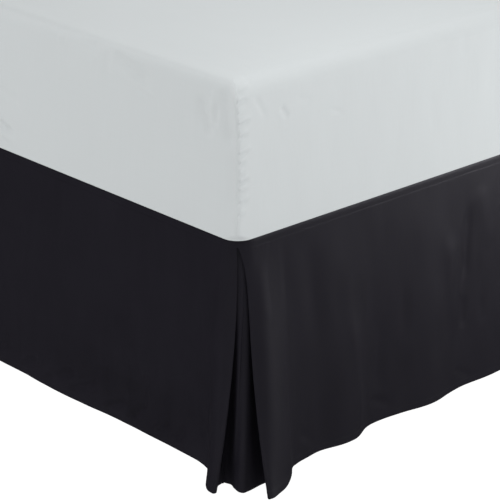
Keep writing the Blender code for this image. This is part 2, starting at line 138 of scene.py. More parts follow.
# A station of a corner lobe: its run from the fold, and its place at the hem past the plain hem line.
Station = namedtuple("Station", "run along out")
# A lobe: its stations, the hem's stand-off, how late it opens and how much later its fold does, how far its
# fold slides back just under the seam, the fold's width at the hem, the return's depth at seam and hem, how
# far the return swings in, and how full it is.
Lobe = namedtuple("Lobe", "stations stand ramp late slide roll seam_depth hem_depth swing fullness")
# A soft vertical fold of a drop: its place from the corner, its reach, and its width before and after.
Fold = namedtuple("Fold", "place reach before after")
# A station of a pleat's insert: its run, where it hangs at the seam, its place at the hem from the sharp
# corner, and how late it swings out to there.
InsertStation = namedtuple("InsertStation", "run seam side_out foot_out ramp")
# A crease: from one place to another on its panel, its half width, and how deep it is; a ridge is below 0.
Crease = namedtuple("Crease", "along rise to_along to_rise width depth")
# One half of a drop, from its corner: its lobe, its folds, its creases and the phase of its unevenness.
Half = namedtuple("Half", "lobe folds creases phase")
# A tuck beside a corner's seam: its height above the mattress's bottom, its reach from the seam, and depth.
Tuck = namedtuple("Tuck", "rise reach depth")
# A ring of a turned form.
Ring = namedtuple("Ring", "radius height")


def millimetres(kind, rows):
    """Rows of one kind in metres, from rows written in millimetres."""
    return tuple(kind(*(number / 1000 for number in row)) for row in rows)


SIDE_LOBE = Lobe(
    stations=millimetres(Station, (
        (0, -6, 57.5), (8, 4, 56.5), (20, 18, 48.5), (38, 35, 30.5), (56, 51, 12.5), (72, 68, 5.3),
        (88, 88, 1.2), (104, 112, 0), (150, 158.2, 0),
    )),
    stand=0.0035, ramp=1.55, late=0.65, slide=-0.0019, roll=0.008,
    seam_depth=0.072, hem_depth=0.037, swing=0.017, fullness=1.0,
)
FOOT_LOBE = Lobe(
    stations=millimetres(Station, (
        (0, -6, 78), (6, -0.5, 79), (22, 19, 74), (40, 39, 67), (56, 57, 56), (72, 76, 41), (86, 94, 24),
        (98, 107, 19.3), (133, 141, 13.3), (158, 166, 7.6), (190, 198.2, 4.4), (232, 240.2, 0),
        (260, 268.2, 0),
    )),
    stand=0.0060, ramp=1.60, late=0.75, slide=0.0165, roll=0.004,
    seam_depth=0.072, hem_depth=0.056, swing=0.022, fullness=1.0,
)
SECOND_SIDE_LOBE = SIDE_LOBE._replace(fullness=0.86)
SECOND_FOOT_LOBE = FOOT_LOBE._replace(fullness=0.82)
INSERT = tuple(InsertStation(*row) for row in (
    (-0.058, -0.04, 0.0265, -0.016, 4.5), (-0.042, -0.007, 0.021, -0.003, 4),
    (-0.032, 0.008, 0.0185, 0.005, 1.4), (-0.014, 0.012, 0.0235, 0.02, 1.87),
    (-0.002, 0.016, 0.026, 0.034, 2.1), (0.004, 0.019, 0.023, 0.0395, 2.2),
    (0.012, 0.023, 0.013, 0.0405, 2.4), (0.024, 0.031, -0.002, 0.0395, 3.4),
    (0.036, 0.04, -0.014, 0.0382, 3.6), (0.048, 0.05, -0.026, 0.0385, 3.6),
))
LEFT_FOLDS = millimetres(Fold, (
    (455, 9.5, 115, 110), (640, 7, 95, 120), (1060, 8, 130, 90), (1420, 5, 80, 120), (1720, 9, 120, 80),
))
FOOT_LEFT_FOLDS = millimetres(Fold, (
    (238, 22.5, 60, 36), (435, 16.5, 65, 58), (590, 7.5, 70, 80),
))
FOOT_RIGHT_FOLDS = millimetres(Fold, (
    (290, 15, 60, 45), (500, 9, 70, 90),
))
RIGHT_FOLDS = millimetres(Fold, (
    (330, 11, 80, 60), (760, 8, 110, 130), (1180, 9, 90, 100), (1600, 6, 110, 100),
))

# Soft troughs and drag folds of each panel. The drag folds slant down to the stitched hem.
LEFT_CREASES = millimetres(Crease, (
    (70, 72, 108, 30, 9, 2.1), (120, 44, 158, 12, 9.5, 3.8), (163, 46, 202, 14, 8, 2.7),
    (219, 112, 226, 60, 8, 1.2), (222, 56, 268, 12, 10, 4.2), (276, 40, 326, 12, 9.5, 3.7),
    (348, 48, 426, 12, 10, 2.9), (404, 54, 486, 12, 11, 4), (508, 44, 560, 16, 10, 2.6),
    (590, 50, 650, 12, 10, 3.2), (700, 42, 752, 12, 9, 3.2), (812, 60, 848, 14, 10, 2.4),
    (905, 46, 968, 12, 10.5, 3.8), (1020, 38, 1066, 14, 8.5, 2.7), (1150, 52, 1215, 12, 10, 3.5),
    (1300, 44, 1352, 12, 9.5, 2.6), (1430, 56, 1500, 12, 11, 3.7), (1590, 42, 1642, 12, 9, 2.9),
    (1740, 48, 1800, 12, 10, 3.4), (1900, 40, 1950, 12, 9, 2.7), (300, 170, 306, 50, 16, 1),
    (560, 300, 610, 150, 30, 1.8), (30, 340, 46, 225, 18, -1.4), (105, 265, 125, 185, 20, -0.8),
    (880, 390, 920, 120, 35, 2.2), (1250, 360, 1265, 80, 30, 1.8), (1560, 390, 1540, 140, 38, 2.4),
))
FOOT_LEFT_CREASES = millimetres(Crease, (
    (47, 362, 54, 262, 14, -0.9), (82, 380, 86, 150, 21, 0.9), (152, 378, 166, 190, 26, 2),
    (110, 330, 120, 120, 23, 0.7), (252, 210, 262, 20, 17, -2.4), (318, 190, 312, 60, 20, 2.2),
    (372, 235, 376, 140, 15, 0.8), (486, 290, 500, 120, 19, -2.8), (534, 330, 526, 205, 12, 2.6),
    (522, 170, 520, 115, 11, 2.2), (566, 160, 572, 110, 13, 1), (560, 360, 590, 250, 22, -1.4),
    (292, 50, 350, 20, 11, 1.6), (120, 50, 160, 18, 10, 1.1), (500, 40, 540, 16, 9, 1.2),
    (640, 50, 690, 14, 10, 1.4), (690, 360, 705, 140, 28, 2.6),
))
FOOT_RIGHT_CREASES = millimetres(Crease, (
    (60, 370, 70, 240, 15, -1.4), (140, 360, 150, 160, 24, 2.6), (300, 250, 290, 30, 20, -2.2),
    (400, 340, 390, 130, 26, 2.8), (520, 300, 505, 60, 22, -2), (610, 360, 620, 180, 24, 2.2),
    (180, 50, 225, 14, 10, 1.5), (330, 42, 372, 14, 9, 1.4), (450, 52, 505, 14, 10.5, 1.8),
    (600, 44, 648, 14, 9.5, 1.4),
))
RIGHT_CREASES = millimetres(Crease, (
    (130, 44, 170, 12, 9.5, 2), (240, 52, 296, 12, 10, 1.8), (400, 46, 462, 12, 10, 2.3),
    (540, 40, 590, 12, 9, 1.7), (690, 56, 752, 12, 11, 2.2), (850, 42, 900, 12, 9, 1.8),
    (1010, 50, 1066, 12, 10, 2.1), (1160, 44, 1206, 12, 9, 1.6), (1330, 54, 1396, 12, 10.5, 2.2),
    (1520, 42, 1570, 12, 9, 1.8), (1700, 48, 1758, 12, 10, 2), (1880, 40, 1930, 12, 9, 1.7),
    (300, 380, 330, 160, 30, 2.2), (720, 390, 700, 120, 34, 2.4), (1120, 360, 1150, 90, 30, -1.8),
    (1540, 390, 1560, 160, 36, 2.2),
))
LEFT_HALF = Half(SIDE_LOBE, LEFT_FOLDS, LEFT_CREASES, 0.0)
FOOT_LEFT_HALF = Half(FOOT_LOBE, FOOT_LEFT_FOLDS, FOOT_LEFT_CREASES, 0.4)
FOOT_RIGHT_HALF = Half(SECOND_FOOT_LOBE, FOOT_RIGHT_FOLDS, FOOT_RIGHT_CREASES, 1.9)
RIGHT_HALF = Half(SECOND_SIDE_LOBE, RIGHT_FOLDS, RIGHT_CREASES, 1.3)

# The mattress in its fitted sheet
MATTRESS_INSET = 0.004
MATTRESS_BOTTOM = DECK_TOP + GAP
MATTRESS_HEIGHT = 0.254
MATTRESS_TOP = MATTRESS_BOTTOM + MATTRESS_HEIGHT
MATTRESS_CORNER = 0.026
MATTRESS_EDGE = 0.032
MATTRESS_SEAM_CORNER = 0.0045
# Heights over which the corners tighten to the seam's and the sides draw in from the lower lip, and how far
# from its edges the top has risen by most of its crown, across the bed and down it
MATTRESS_TIGHTENS = 0.013
MATTRESS_DRAWS_IN = 0.15
CROWN_ACROSS = 0.12
CROWN_DOWN = 0.06
# The squared left upper edge: its power near the foot, the length for which that holds and then, over as much
# again, grows, and by how much; how far from the foot the squaring starts, and over what length it comes in
EDGE_POWER = 0.42
EDGE_POWER_REACH = 0.30
EDGE_POWER_GROWS = 0.18
EDGE_START = 0.004
EDGE_COMES_IN = 0.020
# How far in from a side its creases and its bulge fade out, round the edges and the corners
CREASES_FADE = 0.040
# The lower edge hangs over the deck's roll, but not at the open head, and turns up in a small round
LIP_RADIUS = 0.0015
LIP_TURN = math.radians(28.4)
LIP_DEPTH = 0.020
# The sheet's seam at each corner: how far round it tucks reach, its half width, how far it lies in above and
# how much farther out below; and its tucks' slant, the parts of their depth that go into the trough and into
# the ridge over it, the half heights of both, and how far above the trough the ridge lies
SEAM_REACH = 0.045
SEAM_HALF = 0.0024
SEAM_IN = 0.0006
SEAM_OUT = 0.0017
TUCK_SLANT = 0.30
TUCK_TROUGH = 2.2
TUCK_TROUGH_HALF = 0.0032
TUCK_RIDGE = 1.8
TUCK_RIDGE_HALF = 0.0040
TUCK_RIDGE_RISE = 0.0065
# Creases of the sheet's side faces
SHEET_LEFT_CREASES = millimetres(Crease, (
    (-4, 205, -4, 30, 30, 4), (206, 208, 300, 240, 15, 4.2), (196, 190, 236, 204, 7, -1.4),
    (330, 238, 380, 250, 18, 3), (308, 240, 311, 196, 8, 1.3), (298, 244, 300, 200, 7, -0.9),
    (425, 254, 430, 228, 6, -2.4), (31, 238, 18, 150, 15, 3.6), (46, 212, 50, 176, 7, 2),
    (84, 216, 60, 158, 12, 3.4), (53, 232, 56, 200, 7, -1.4), (93, 226, 82, 168, 9, 0.8),
    (120, 196, 116, 108, 20, 1), (566, 34, 640, 58, 9, 4.2), (574, 20, 648, 44, 7, -2),
    (540, 90, 620, 110, 15, 1.2), (740, 246, 752, 190, 7, 2.2), (930, 250, 985, 232, 8, 2.6),
    (1130, 248, 1124, 180, 7, 2), (1360, 240, 1430, 222, 9, 2.4), (1610, 250, 1600, 188, 7, 2.2),
    (1820, 60, 1900, 44, 8, 2.4), (1960, 230, 1990, 150, 7, 2.4),
))
SHEET_FOOT_CREASES = millimetres(Crease, (
    (94, 198, 108, 180, 6.5, 2.2), (126, 206, 158, 194, 9, 0.8), (40, 226, 62, 190, 7, 1.2),
    (200, 170, 228, 160, 6, 1.2), (428, 150, 440, 70, 16, 0.6), (510, 236, 506, 196, 12, 0.8),
    (545, 220, 552, 110, 22, -0.8), (700, 244, 712, 180, 7, 2), (900, 236, 960, 222, 8, 2.4),
    (1130, 246, 1122, 176, 7, 2.2), (1330, 60, 1400, 44, 8, 2), (1460, 232, 1478, 150, 7, 2.2),
))
SHEET_RIGHT_CREASES = millimetres(Crease, (
    (60, 226, 52, 160, 7, 2.2), (240, 246, 300, 232, 8, 2.4), (520, 240, 514, 180, 7, 2),
    (860, 250, 930, 234, 9, 2.6), (1240, 244, 1252, 186, 7, 2), (1500, 52, 1580, 70, 9, 2.6),
    (1760, 246, 1800, 228, 8, 2.2), (1950, 226, 1980, 150, 7, 2.2),
))
SHEET_HEAD_CREASES = millimetres(Crease, (
    (60, 226, 52, 160, 7, 2), (360, 240, 430, 228, 8, 2.4), (700, 246, 694, 186, 7, 2),
    (1080, 60, 1150, 48, 8, 2.2), (1440, 226, 1460, 160, 7, 2.2),
))
# Tucks beside each corner's seam
CORNER_TUCKS = millimetres(Tuck, (
    (236, 16, 1.2), (221, 20, 1.5), (203, 13, 0.8), (186, 21, 1.6), (167, 18, 1.4), (141, 20, 1.3),
    (126, 15, 1.2), (110, 12, 0.7), (96, 19, 1.4), (81, 16, 1.2), (61, 18, 1.3), (41, 14, 1),
))

# Box spring and bed frame
BOX_INSET = 0.012
BOX_TOP = DECK_TOP - CLOTH - GAP
BOX_HEIGHT = 0.229
BOX_BOTTOM = BOX_TOP - BOX_HEIGHT
BOX_CORNER = 0.045
# The underside of the box spring's lower piping over its bottom and the middle of its upper piping under its
# top; how far inside the outline the piping and the border lie, and how far the border bulges; and the
# padding's foot inside the outline, its rounding in from there, and its gap over the piping
PIPING_LOW = 0.0015
PIPING_HIGH = 0.012
PIPING_INSET = 0.0016
BORDER_INSET = 0.0022
BORDER_BULGE = 0.0010
PADDING_INSET = 0.003
PADDING_ROUND = 0.016
PADDING_GAP = 0.0004
RAIL = 0.030
# Sharper edges than these angles, in degrees, stay sharp
SMOOTH_CLOTH = 60
SMOOTH_STEEL = 35
# A tube's plugged end: each ring's scale and how far it is sunk from the end
PLUGGED_END = ((0.4, 0.0030), (0.80, 0.0022), (0.88, 0.0018), (0.90, 0.0002), (0.955, 0.0), (1.0, 0.0014))
# A leg from its foot and, measured from its top, its upper end; and the glide it stands in
LEG_FOOT = millimetres(Ring, ((6.4, 13), (15.2, 13), (16, 13.8)))
LEG_TOP = millimetres(Ring, ((16, -1), (15, 0), (6.4, 0)))
GLIDE = millimetres(Ring, (
    (7.2, 0), (21, 0), (22.8, 0.7), (24, 2.8), (24, 9), (23.2, 11), (21.2, 12), (18.2, 15.5), (17.4, 17.8),
    (16.4, 18), (16.3, 12.5), (6.4, 12.5),
))

# The stage. Each lamp's size, and from the floor at the foot corner its place and what it points to; and the
# camera's place from there, its turn from the x axis and its pitch down, in degrees, and its lens in mm
LAMPS = {
    "left": (1.8, (-3.50, 0.80, 1.00), (0.0, 0.50, 0.40)),
    "right": (1.8, (2.50, -4.50, 2.00), (0.60, 0.0, 0.40)),
    "top": (2.5, (-1.50, 1.50, 4.00), (0.30, 0.50, 0.50)),
    "key": (0.5, (1.20, -0.62, 0.51), (0.45, 0.0, 0.35)),
    "fill": (0.4, (0.10, -0.50, 1.40), (0.10, 0.0, 0.60)),
    "side": (1.4, (2.40, 0.60, 2.00), (0.50, 0.50, 0.60)),
}
CAMERA_PLACE = (-2.051, -2.262, 1.640)
CAMERA_TURN = 47.42
CAMERA_PITCH = 22.01
LENS = 154.56
FLOOR_REACH = 400.0


# ---------------------------------------------------------------- shader maths


class Value:
    """A socket whose arithmetic adds Math nodes."""

    def __init__(self, board, socket):
        self.board = board
        self.socket = socket

    def combine(self, operation, first, second=None):
        """A Math node of one or two inputs, numbers or values."""
        inputs = {0: first}
        if second is not None:
            inputs[1] = second
        made = self.board.node("ShaderNodeMath", {"operation": operation}, inputs)
        return Value(self.board, made.outputs[0])

    def __add__(self, other):
        return self.combine("ADD", self, other)

    __radd__ = __add__

    def __mul__(self, other):
        return self.combine("MULTIPLY", self, other)

    __rmul__ = __mul__

    def __sub__(self, other):
        return self.combine("SUBTRACT", self, other)

    def __rsub__(self, other):
        return self.combine("SUBTRACT", other, self)

    def __mod__(self, other):
        return self.combine("FLOORED_MODULO", self, other)

    def __abs__(self):
        return self.combine("ABSOLUTE", self)

    def below(self, other):
        """1 where this is less than the other, else 0."""
        return self.combine("LESS_THAN", self, other)

    def sine(self):
        """The sine."""
        return self.combine("SINE", self)


class Board:
    """The nodes of one tree, emptied first."""

    def __init__(self, tree):
        self.nodes = tree.nodes
        self.links = tree.links
        self.nodes.clear()

    def node(self, kind, settings=None, inputs=None):
        """A node of a type, its settings first and then its sockets' values or links."""
        made = self.nodes.new(kind)
        for name, value in (settings or {}).items():
            setattr(made, name, value)
        for key, value in (inputs or {}).items():
            self.feed(made.inputs[key], value)
        return made

    def feed(self, socket, value):
        """Links a value or socket into a socket, or sets its number."""
        if isinstance(value, Value):
            value = value.socket
        if isinstance(value, bpy.types.NodeSocket):
            self.links.new(value, socket)
        else:
            socket.default_value = value

    def place(self):
        """The object's own coordinates, in metres."""
        return self.node("ShaderNodeTexCoord").outputs["Object"]

    def cloth_place(self):
        """(along the cloth, down the cloth) in metres, from the piece's own map."""
        split = self.node("ShaderNodeSeparateXYZ", inputs={0: self.node("ShaderNodeUVMap").outputs[0]})
        return Value(self, split.outputs[0]), Value(self, split.outputs[1])

    def noise(self, scale, detail, roughness, distortion=0.0):
        """Noise from 0 to 1 at a scale per metre, or at three scales, one for each axis."""
        place = self.place()
        if isinstance(scale, tuple):
            place = self.node("ShaderNodeMapping", inputs={"Vector": place, "Scale": scale}).outputs[0]
            scale = 1.0
        made = self.node("ShaderNodeTexNoise", inputs={
            "Vector": place, "Scale": scale, "Detail": detail, "Roughness": roughness,
            "Distortion": distortion})
        return Value(self, made.outputs["Fac"])

    def mixed(self, share, first, second):
        """A colour between two colours."""
        made = self.node("ShaderNodeMix", {"data_type": "RGBA", "clamp_factor": True},
                         {"Factor": share, "A": first, "B": second})
        return made.outputs["Result"]

    def bump(self, height, distance, strength, normal=None):
        """A Bump node's normal."""
        inputs = {"Height": height, "Distance": distance, "Strength": strength}
        if normal is not None:
            inputs["Normal"] = normal
        return self.node("ShaderNodeBump", inputs=inputs).outputs[0]


class Finish(Board):
    """The nodes of one material, round its Principled shader."""

    def __init__(self, name):
        self.material = bpy.data.materials.new(name)
        self.material.use_nodes = True
        super().__init__(self.material.node_tree)
        self.shader = self.node("ShaderNodeBsdfPrincipled")
        self.node("ShaderNodeOutputMaterial", inputs={"Surface": self.shader.outputs[0]})

    def set(self, **sockets):
        """Sets the shader's sockets, named with underscores for spaces."""
        for name, value in sockets.items():
            self.feed(self.shader.inputs[name.replace("_", " ")], value)


# ---------------------------------------------------------------- sizes and colours


COLOUR = {"size": 3, "min": 0.0, "max": 1.0, "subtype": "COLOR"}
POWER = {"min": 0.0, "max": 2000.0}


class SkirtSettings(bpy.types.PropertyGroup):
    """The skirt's cloth."""

    cloth: FloatProperty(name="Cloth", description="Thickness of one layer of the skirt's cloth",
                         default=0.0010, min=0.0005, max=0.0015, subtype="DISTANCE")
    hem: FloatProperty(name="Hem", description="Width of the turned and stitched hem",
                       default=0.0125, min=0.005, max=0.03, subtype="DISTANCE")
    creasing: FloatProperty(name="Creasing", description="How deep the small folds and creases are",
                            default=1.0, min=0.0, max=2.0, subtype="FACTOR")
    colour: FloatVectorProperty(name="Colour", description="Colour of the brushed cloth",
                                default=(0.0095, 0.0086, 0.0125), **COLOUR)
    thread: FloatVectorProperty(name="Thread", description="Colour of the hem's stitches",
                                default=(0.014, 0.0135, 0.0165), **COLOUR)


class BeddingSettings(bpy.types.PropertyGroup):
    """The mattress in its sheet, and the box spring."""

    crown: FloatProperty(name="Crown", description="How far the mattress's top rises to its middle",
                         default=0.020, min=0.0, max=0.025, subtype="DISTANCE")
    bulge: FloatProperty(name="Bulge", description="How far the mattress's sides stand out at mid-height",
                         default=0.003, min=0.0, max=0.008, subtype="DISTANCE")
    piping: FloatProperty(name="Piping", description="Thickness of the box spring's piping",
                          default=0.007, min=0.003, max=0.012, subtype="DISTANCE")
    sheet: FloatVectorProperty(name="Sheet", description="Colour of the fitted sheet",
                               default=(0.448, 0.470, 0.476), **COLOUR)
    ticking: FloatVectorProperty(name="Ticking", description="Colour of the box spring's ticking",
                                 default=(0.46, 0.44, 0.41), **COLOUR)


class FrameSettings(bpy.types.PropertyGroup):
    """The steel bed frame."""

    edge: FloatProperty(name="Edge", description="Radius of the square tubes' edges",
                        default=0.004, min=0.001, max=0.010, subtype="DISTANCE")
    sides: IntProperty(name="Sides", description="Points round a leg", default=40, min=12, max=96)
    steel: FloatVectorProperty(name="Steel", description="Colour of the powder coat",
                               default=(0.020, 0.020, 0.022), **COLOUR)
    plastic: FloatVectorProperty(name="Plastic", description="Colour of the glides",
                                 default=(0.012, 0.012, 0.013), **COLOUR)


class StageSettings(bpy.types.PropertyGroup):
    """The floor, the lights and the camera."""

    surround: FloatProperty(name="Surround", description="Strength of the light from all round",
                            default=0.65, min=0.0, max=3.0)
    left: FloatProperty(name="Left", description="Power of the large soft light on the left",
                        default=30.0, **POWER)
    right: FloatProperty(name="Right", description="Power of the large soft light before the foot",
                         default=59.0, **POWER)
    top: FloatProperty(name="Top", description="Power of the large soft light above on the left",
                       default=56.0, **POWER)
    key: FloatProperty(name="Key", description="Power of the soft light near the foot",
                       default=3.4, **POWER)
    fill: FloatProperty(name="Fill", description="Power of the soft light above the foot corner",
                        default=3.2, **POWER)
    side: FloatProperty(name="Side", description="Power of the soft light high on the right",
                        default=31.0, **POWER)
    floor: FloatVectorProperty(name="Floor", description="Colour of the floor",
                               default=(0.15, 0.15, 0.15), **COLOUR)
    glow: FloatProperty(name="Glow", description="The floor's own light", default=1.0, min=0.0, max=2.0)


# ---------------------------------------------------------------- surfaces


def curve_through(knots, values, at):
    """Smooth curve through rows of values at rising knots: cubic pieces, tangents from both sides.

    The knots are along the next to last axis of values, and the result has a row for each of at.
    """
    knots = np.asarray(knots, float)
    values = np.asarray(values, float)
    width = np.diff(knots)
    slope = np.diff(values, axis=-2) / width[:, None]
    tangent = np.concatenate([slope[..., :1, :], slope[..., :1, :], slope[..., 1:, :]], axis=-2)
    before = width[:-1, None]
    after = width[1:, None]
    tangent[..., 1:-1, :] = (slope[..., :-1, :] * after + slope[..., 1:, :] * before) / (before + after)
    at = np.clip(at, knots[0], knots[-1])
    cell = np.clip(np.searchsorted(knots, at, side="right") - 1, 0, len(width) - 1)
    span = width[cell][:, None]
    s = (at - knots[cell])[:, None] / span
    return ((2 * s**3 - 3 * s**2 + 1) * values[..., cell, :]
            + (s**3 - 2 * s**2 + s) * span * tangent[..., cell, :]
            + (3 * s**2 - 2 * s**3) * values[..., cell + 1, :]
            + (s**3 - s**2) * span * tangent[..., cell + 1, :])


def eased(share):
    """0 to 1 with soft ends: 3 s squared less 2 s cubed, of the share kept from 0 to 1."""
    share = np.clip(share, 0, 1)
    return share**2 * (3 - 2 * share)


def spread_steps(places, steps):
    """Points between rising places, each stretch divided evenly into steps no longer than its own."""
    parts = [np.linspace(start, end, max(1, math.ceil((end - start) / step - 1e-6)), endpoint=False)
             for start, end, step in zip(places[:-1], places[1:], steps)]
    return np.concatenate(parts + [[places[-1]]])


def seam_line(run, depth):
    """(along, out) on the seam's outline, a straight with half the rounded corner, inside it by a depth."""
    turn = np.clip(math.pi / 4 - run / CORNER_RADIUS, 0, None)
    radius = CORNER_RADIUS - depth
    straight = run > ARC_HALF
    along = np.where(straight, CORNER_RADIUS + run - ARC_HALF, CORNER_RADIUS - radius * np.sin(turn))
    out = np.where(straight, -depth, radius * np.cos(turn) - CORNER_RADIUS)
    return np.stack([along, out], axis=-1)


def fold_reach(folds, along):
    """How far the soft folds stand out at the hem, each a bell with its own width on either side."""
    total = np.zeros_like(along)
    for fold in folds:
        width = np.where(along < fold.place, fold.before, fold.after)
        total += fold.reach * np.exp(-((along - fold.place) / width) ** 2)
    return total


def drop_face(half, fall, run):
    """(row, run, 2) of along and out at mid-thickness: the seam line above, the lobe and folds below.

    A point goes from the seam line to its station's place by the lobe's fullness times the fall to the power
    of its ramp, which is greater near the fold, and the soft folds come in by the fall to their own power.
    Just under the seam the cloth slides along it, the less the farther from the fold.
    """
    lobe = half.lobe
    fall = fall[:, None]
    slide = lobe.slide * (1 - (1 - fall) ** SLIDE_POWER) * np.exp(-(run / SLIDE_REACH) ** 2)
    closed = seam_line(FOLD_START + slide + run, CLOTH / 2)
    table = np.array(lobe.stations)
    hem = curve_through(table[:, 0], table[:, 1:], run)
    hem[:, 0] = np.where(run > table[-1, 0], CORNER_RADIUS - ARC_HALF + run, hem[:, 0])
    share = (lobe.fullness * fall ** (lobe.ramp + lobe.late * np.exp(-(run / LATE_REACH) ** 2)))[..., None]
    place = closed * (1 - share) + hem * share
    stand = lobe.stand + fold_reach(half.folds, place[..., 0])
    place[..., 1] += stand * fall ** FOLD_RAMP - CLOTH / 2 * share[..., 0]
    return place


def unit(vectors):
    """The same vectors, each 1 long."""
    return vectors / np.linalg.norm(vectors, axis=-1, keepdims=True)


def right_normals(path):
    """Unit normals to the right of each row's travel."""
    travel = unit(np.gradient(path, axis=-2))
    return np.stack([travel[..., 1], -travel[..., 0]], axis=-1)


def along_rows(at, lengths, values):
    """Each row's values, an (row, point, axis) array, at distances along that row."""
    shift = 10.0 * np.arange(len(lengths))[:, None]
    flat = (lengths + shift).ravel()
    return np.stack([np.interp((at + shift).ravel(), flat, values[..., axis].ravel()).reshape(at.shape)
                     for axis in range(values.shape[-1])], axis=-1)


def return_depth(lobe, fall):
    """How deep a return is at each fall, between its depths at the seam and at the hem."""
    share = (lobe.fullness * fall ** lobe.ramp)[:, None]
    return lobe.seam_depth * (1 - share) + lobe.hem_depth * share


def drop_return(half, fall, columns, turns):
    """The fold's round turn, then the return behind the face, and the return's normals into the bed.

    The return copies the face's path, farther behind it the more the pleat opens. The turn is half a circle
    across from the face's first point to the return's.
    """
    lobe = half.lobe
    face = drop_face(half, fall, np.linspace(0, FACE_TRACE, FACE_TRACE_COUNT))
    inward = right_normals(face)
    steps = np.linalg.norm(np.diff(face, axis=1), axis=-1)
    length = np.concatenate([np.zeros((len(fall), 1)), np.cumsum(steps, axis=1)], axis=1)
    opening = (lobe.fullness * fall ** RETURN_RAMP)[:, None]
    roll = PITCH * (1 - opening) + lobe.roll * opening
    spread = np.linspace(0, 1, columns)
    at = spread * return_depth(lobe, fall)
    place = along_rows(at, length, face)
    normal = unit(along_rows(at, length, inward))
    back = place + normal * (roll + opening * lobe.swing * spread)[..., None]
    travel = unit(face[:, 1] - face[:, 0])
    angle = np.linspace(0, math.pi, turns + 1)[1:-1, None]
    centre = face[:, 0] + inward[:, 0] * roll / 2
    swept = inward[:, None, 0] * np.cos(angle) + travel[:, None] * np.sin(angle)
    turn = centre[:, None] - roll[..., None] / 2 * swept
    return turn, back, normal


def side_plan(points):
    """(along, out) of the bed's long side as plan x, y from the sharp corner."""
    return np.stack([-points[..., 1], points[..., 0]], axis=-1)


def foot_plan(points):
    """(along, out) of the bed's foot as plan x, y from the sharp corner."""
    return np.stack([points[..., 0], -points[..., 1]], axis=-1)


def in_bed(points, mirrored):
    """Plan from the left foot corner, or mirrored from the right one, as the bed's own x, y."""
    return points * (-1, 1) + (RIGHT, FOOT) if mirrored else points + (LEFT, FOOT)


def keep_behind(points, sheet, normal, clear):
    """Push each row's points into the bed until they lie a clearance behind that row's sheet."""
    start = sheet[:, None, :-1]
    step = (sheet[:, 1:] - sheet[:, :-1])[:, None]
    share = ((points[:, :, None] - start) * step).sum(axis=-1) / (step**2).sum(axis=-1)
    inside = np.clip(share, 0, 1)
    nearest = start + inside[..., None] * step
    distance = np.linalg.norm(points[:, :, None] - nearest, axis=-1)
    pick = distance.argmin(axis=-1)[..., None]
    near = np.take_along_axis(nearest, pick[..., None], axis=2)[:, :, 0]
    part = np.take_along_axis(inside, pick, axis=2)
    over = np.abs(np.take_along_axis(share, pick, axis=2) - part) < BESIDE
    before = np.take_along_axis(normal, np.repeat(pick, 2, axis=-1), axis=1)
    after = np.take_along_axis(normal, np.repeat(pick + 1, 2, axis=-1), axis=1)
    facing = before * (1 - part) + after * part
    behind = ((points - near) * facing).sum(axis=-1, keepdims=True)
    return points + facing * np.where(over, np.clip(clear - behind, 0, None), 0)


def lengthened(sheet, normal):
    """Each row's return a little longer past its fold and its inner edge."""
    path = np.concatenate([sheet[:, :1] + TURN_MARGIN * unit(sheet[:, :1] - sheet[:, 1:2]), sheet,
                           sheet[:, -1:] + TURN_MARGIN * unit(sheet[:, -1:] - sheet[:, -2:-1])], axis=1)
    return path, np.concatenate([normal[:, :1], normal, normal[:, -1:]], axis=1)


def sewn_edge(sheet, normal, wrap):
    """An insert's edge: a quarter circle from beside the return's inner edge round it, and on past it."""
    inwards = unit(sheet[:, -1:] - sheet[:, -2:-1])
    angle = np.linspace(0, math.pi / 2, WRAP_STEPS + 1)[:, None]
    bend = sheet[:, -1:] + INSERT_PITCH * (normal[:, -1:] * np.cos(angle) + inwards * np.sin(angle))
    return np.concatenate([bend, bend[:, -1:] - normal[:, -1:] * wrap[:, None]], axis=1)


def corner_insert(side_half, foot_half, fall, columns):
    """Plan of the insert's middle: behind both returns at the seam, swelling out between the folds below."""
    returns = []
    for half, plan in ((side_half, side_plan), (foot_half, foot_plan)):
        _, back, normal = drop_return(half, fall, RETURN_COLUMNS, RETURN_TURNS)
        returns.append((plan(back), plan(normal)))
    fullness = min(side_half.lobe.fullness, foot_half.lobe.fullness)
    table = np.array(INSERT)
    run, seam = table[:, 0], table[:, 1]
    depth = CLOTH / 2 + PITCH + INSERT_PITCH
    closed = np.where((seam < 0)[:, None], side_plan(seam_line(-seam, depth)),
                      foot_plan(seam_line(seam, depth)))
    share = fullness * fall[:, None, None] ** table[:, 4:]
    middle = closed * (1 - share) - table[:, 2:4] * share
    wrap = (CLOSED_WRAP + (OPEN_WRAP - CLOSED_WRAP) * fullness * fall ** RETURN_RAMP)[:, None]
    side_edge, foot_edge = (sewn_edge(back, normal, wrap) for back, normal in returns)
    knots = np.concatenate([[-side_half.lobe.seam_depth], run, [foot_half.lobe.seam_depth]])
    places = np.concatenate([side_edge[:, :1], middle, foot_edge[:, :1]], axis=1)
    path = curve_through(knots, places, np.linspace(knots[0], knots[-1], columns))[:, 1:-1]
    longer = [lengthened(back, normal) for back, normal in returns]
    for _ in range(CLEARING_PASSES):
        for back, normal in longer:
            path = keep_behind(path, back, normal, INSERT_PITCH)
    return np.concatenate([side_edge[:, ::-1], path, foot_edge], axis=1)


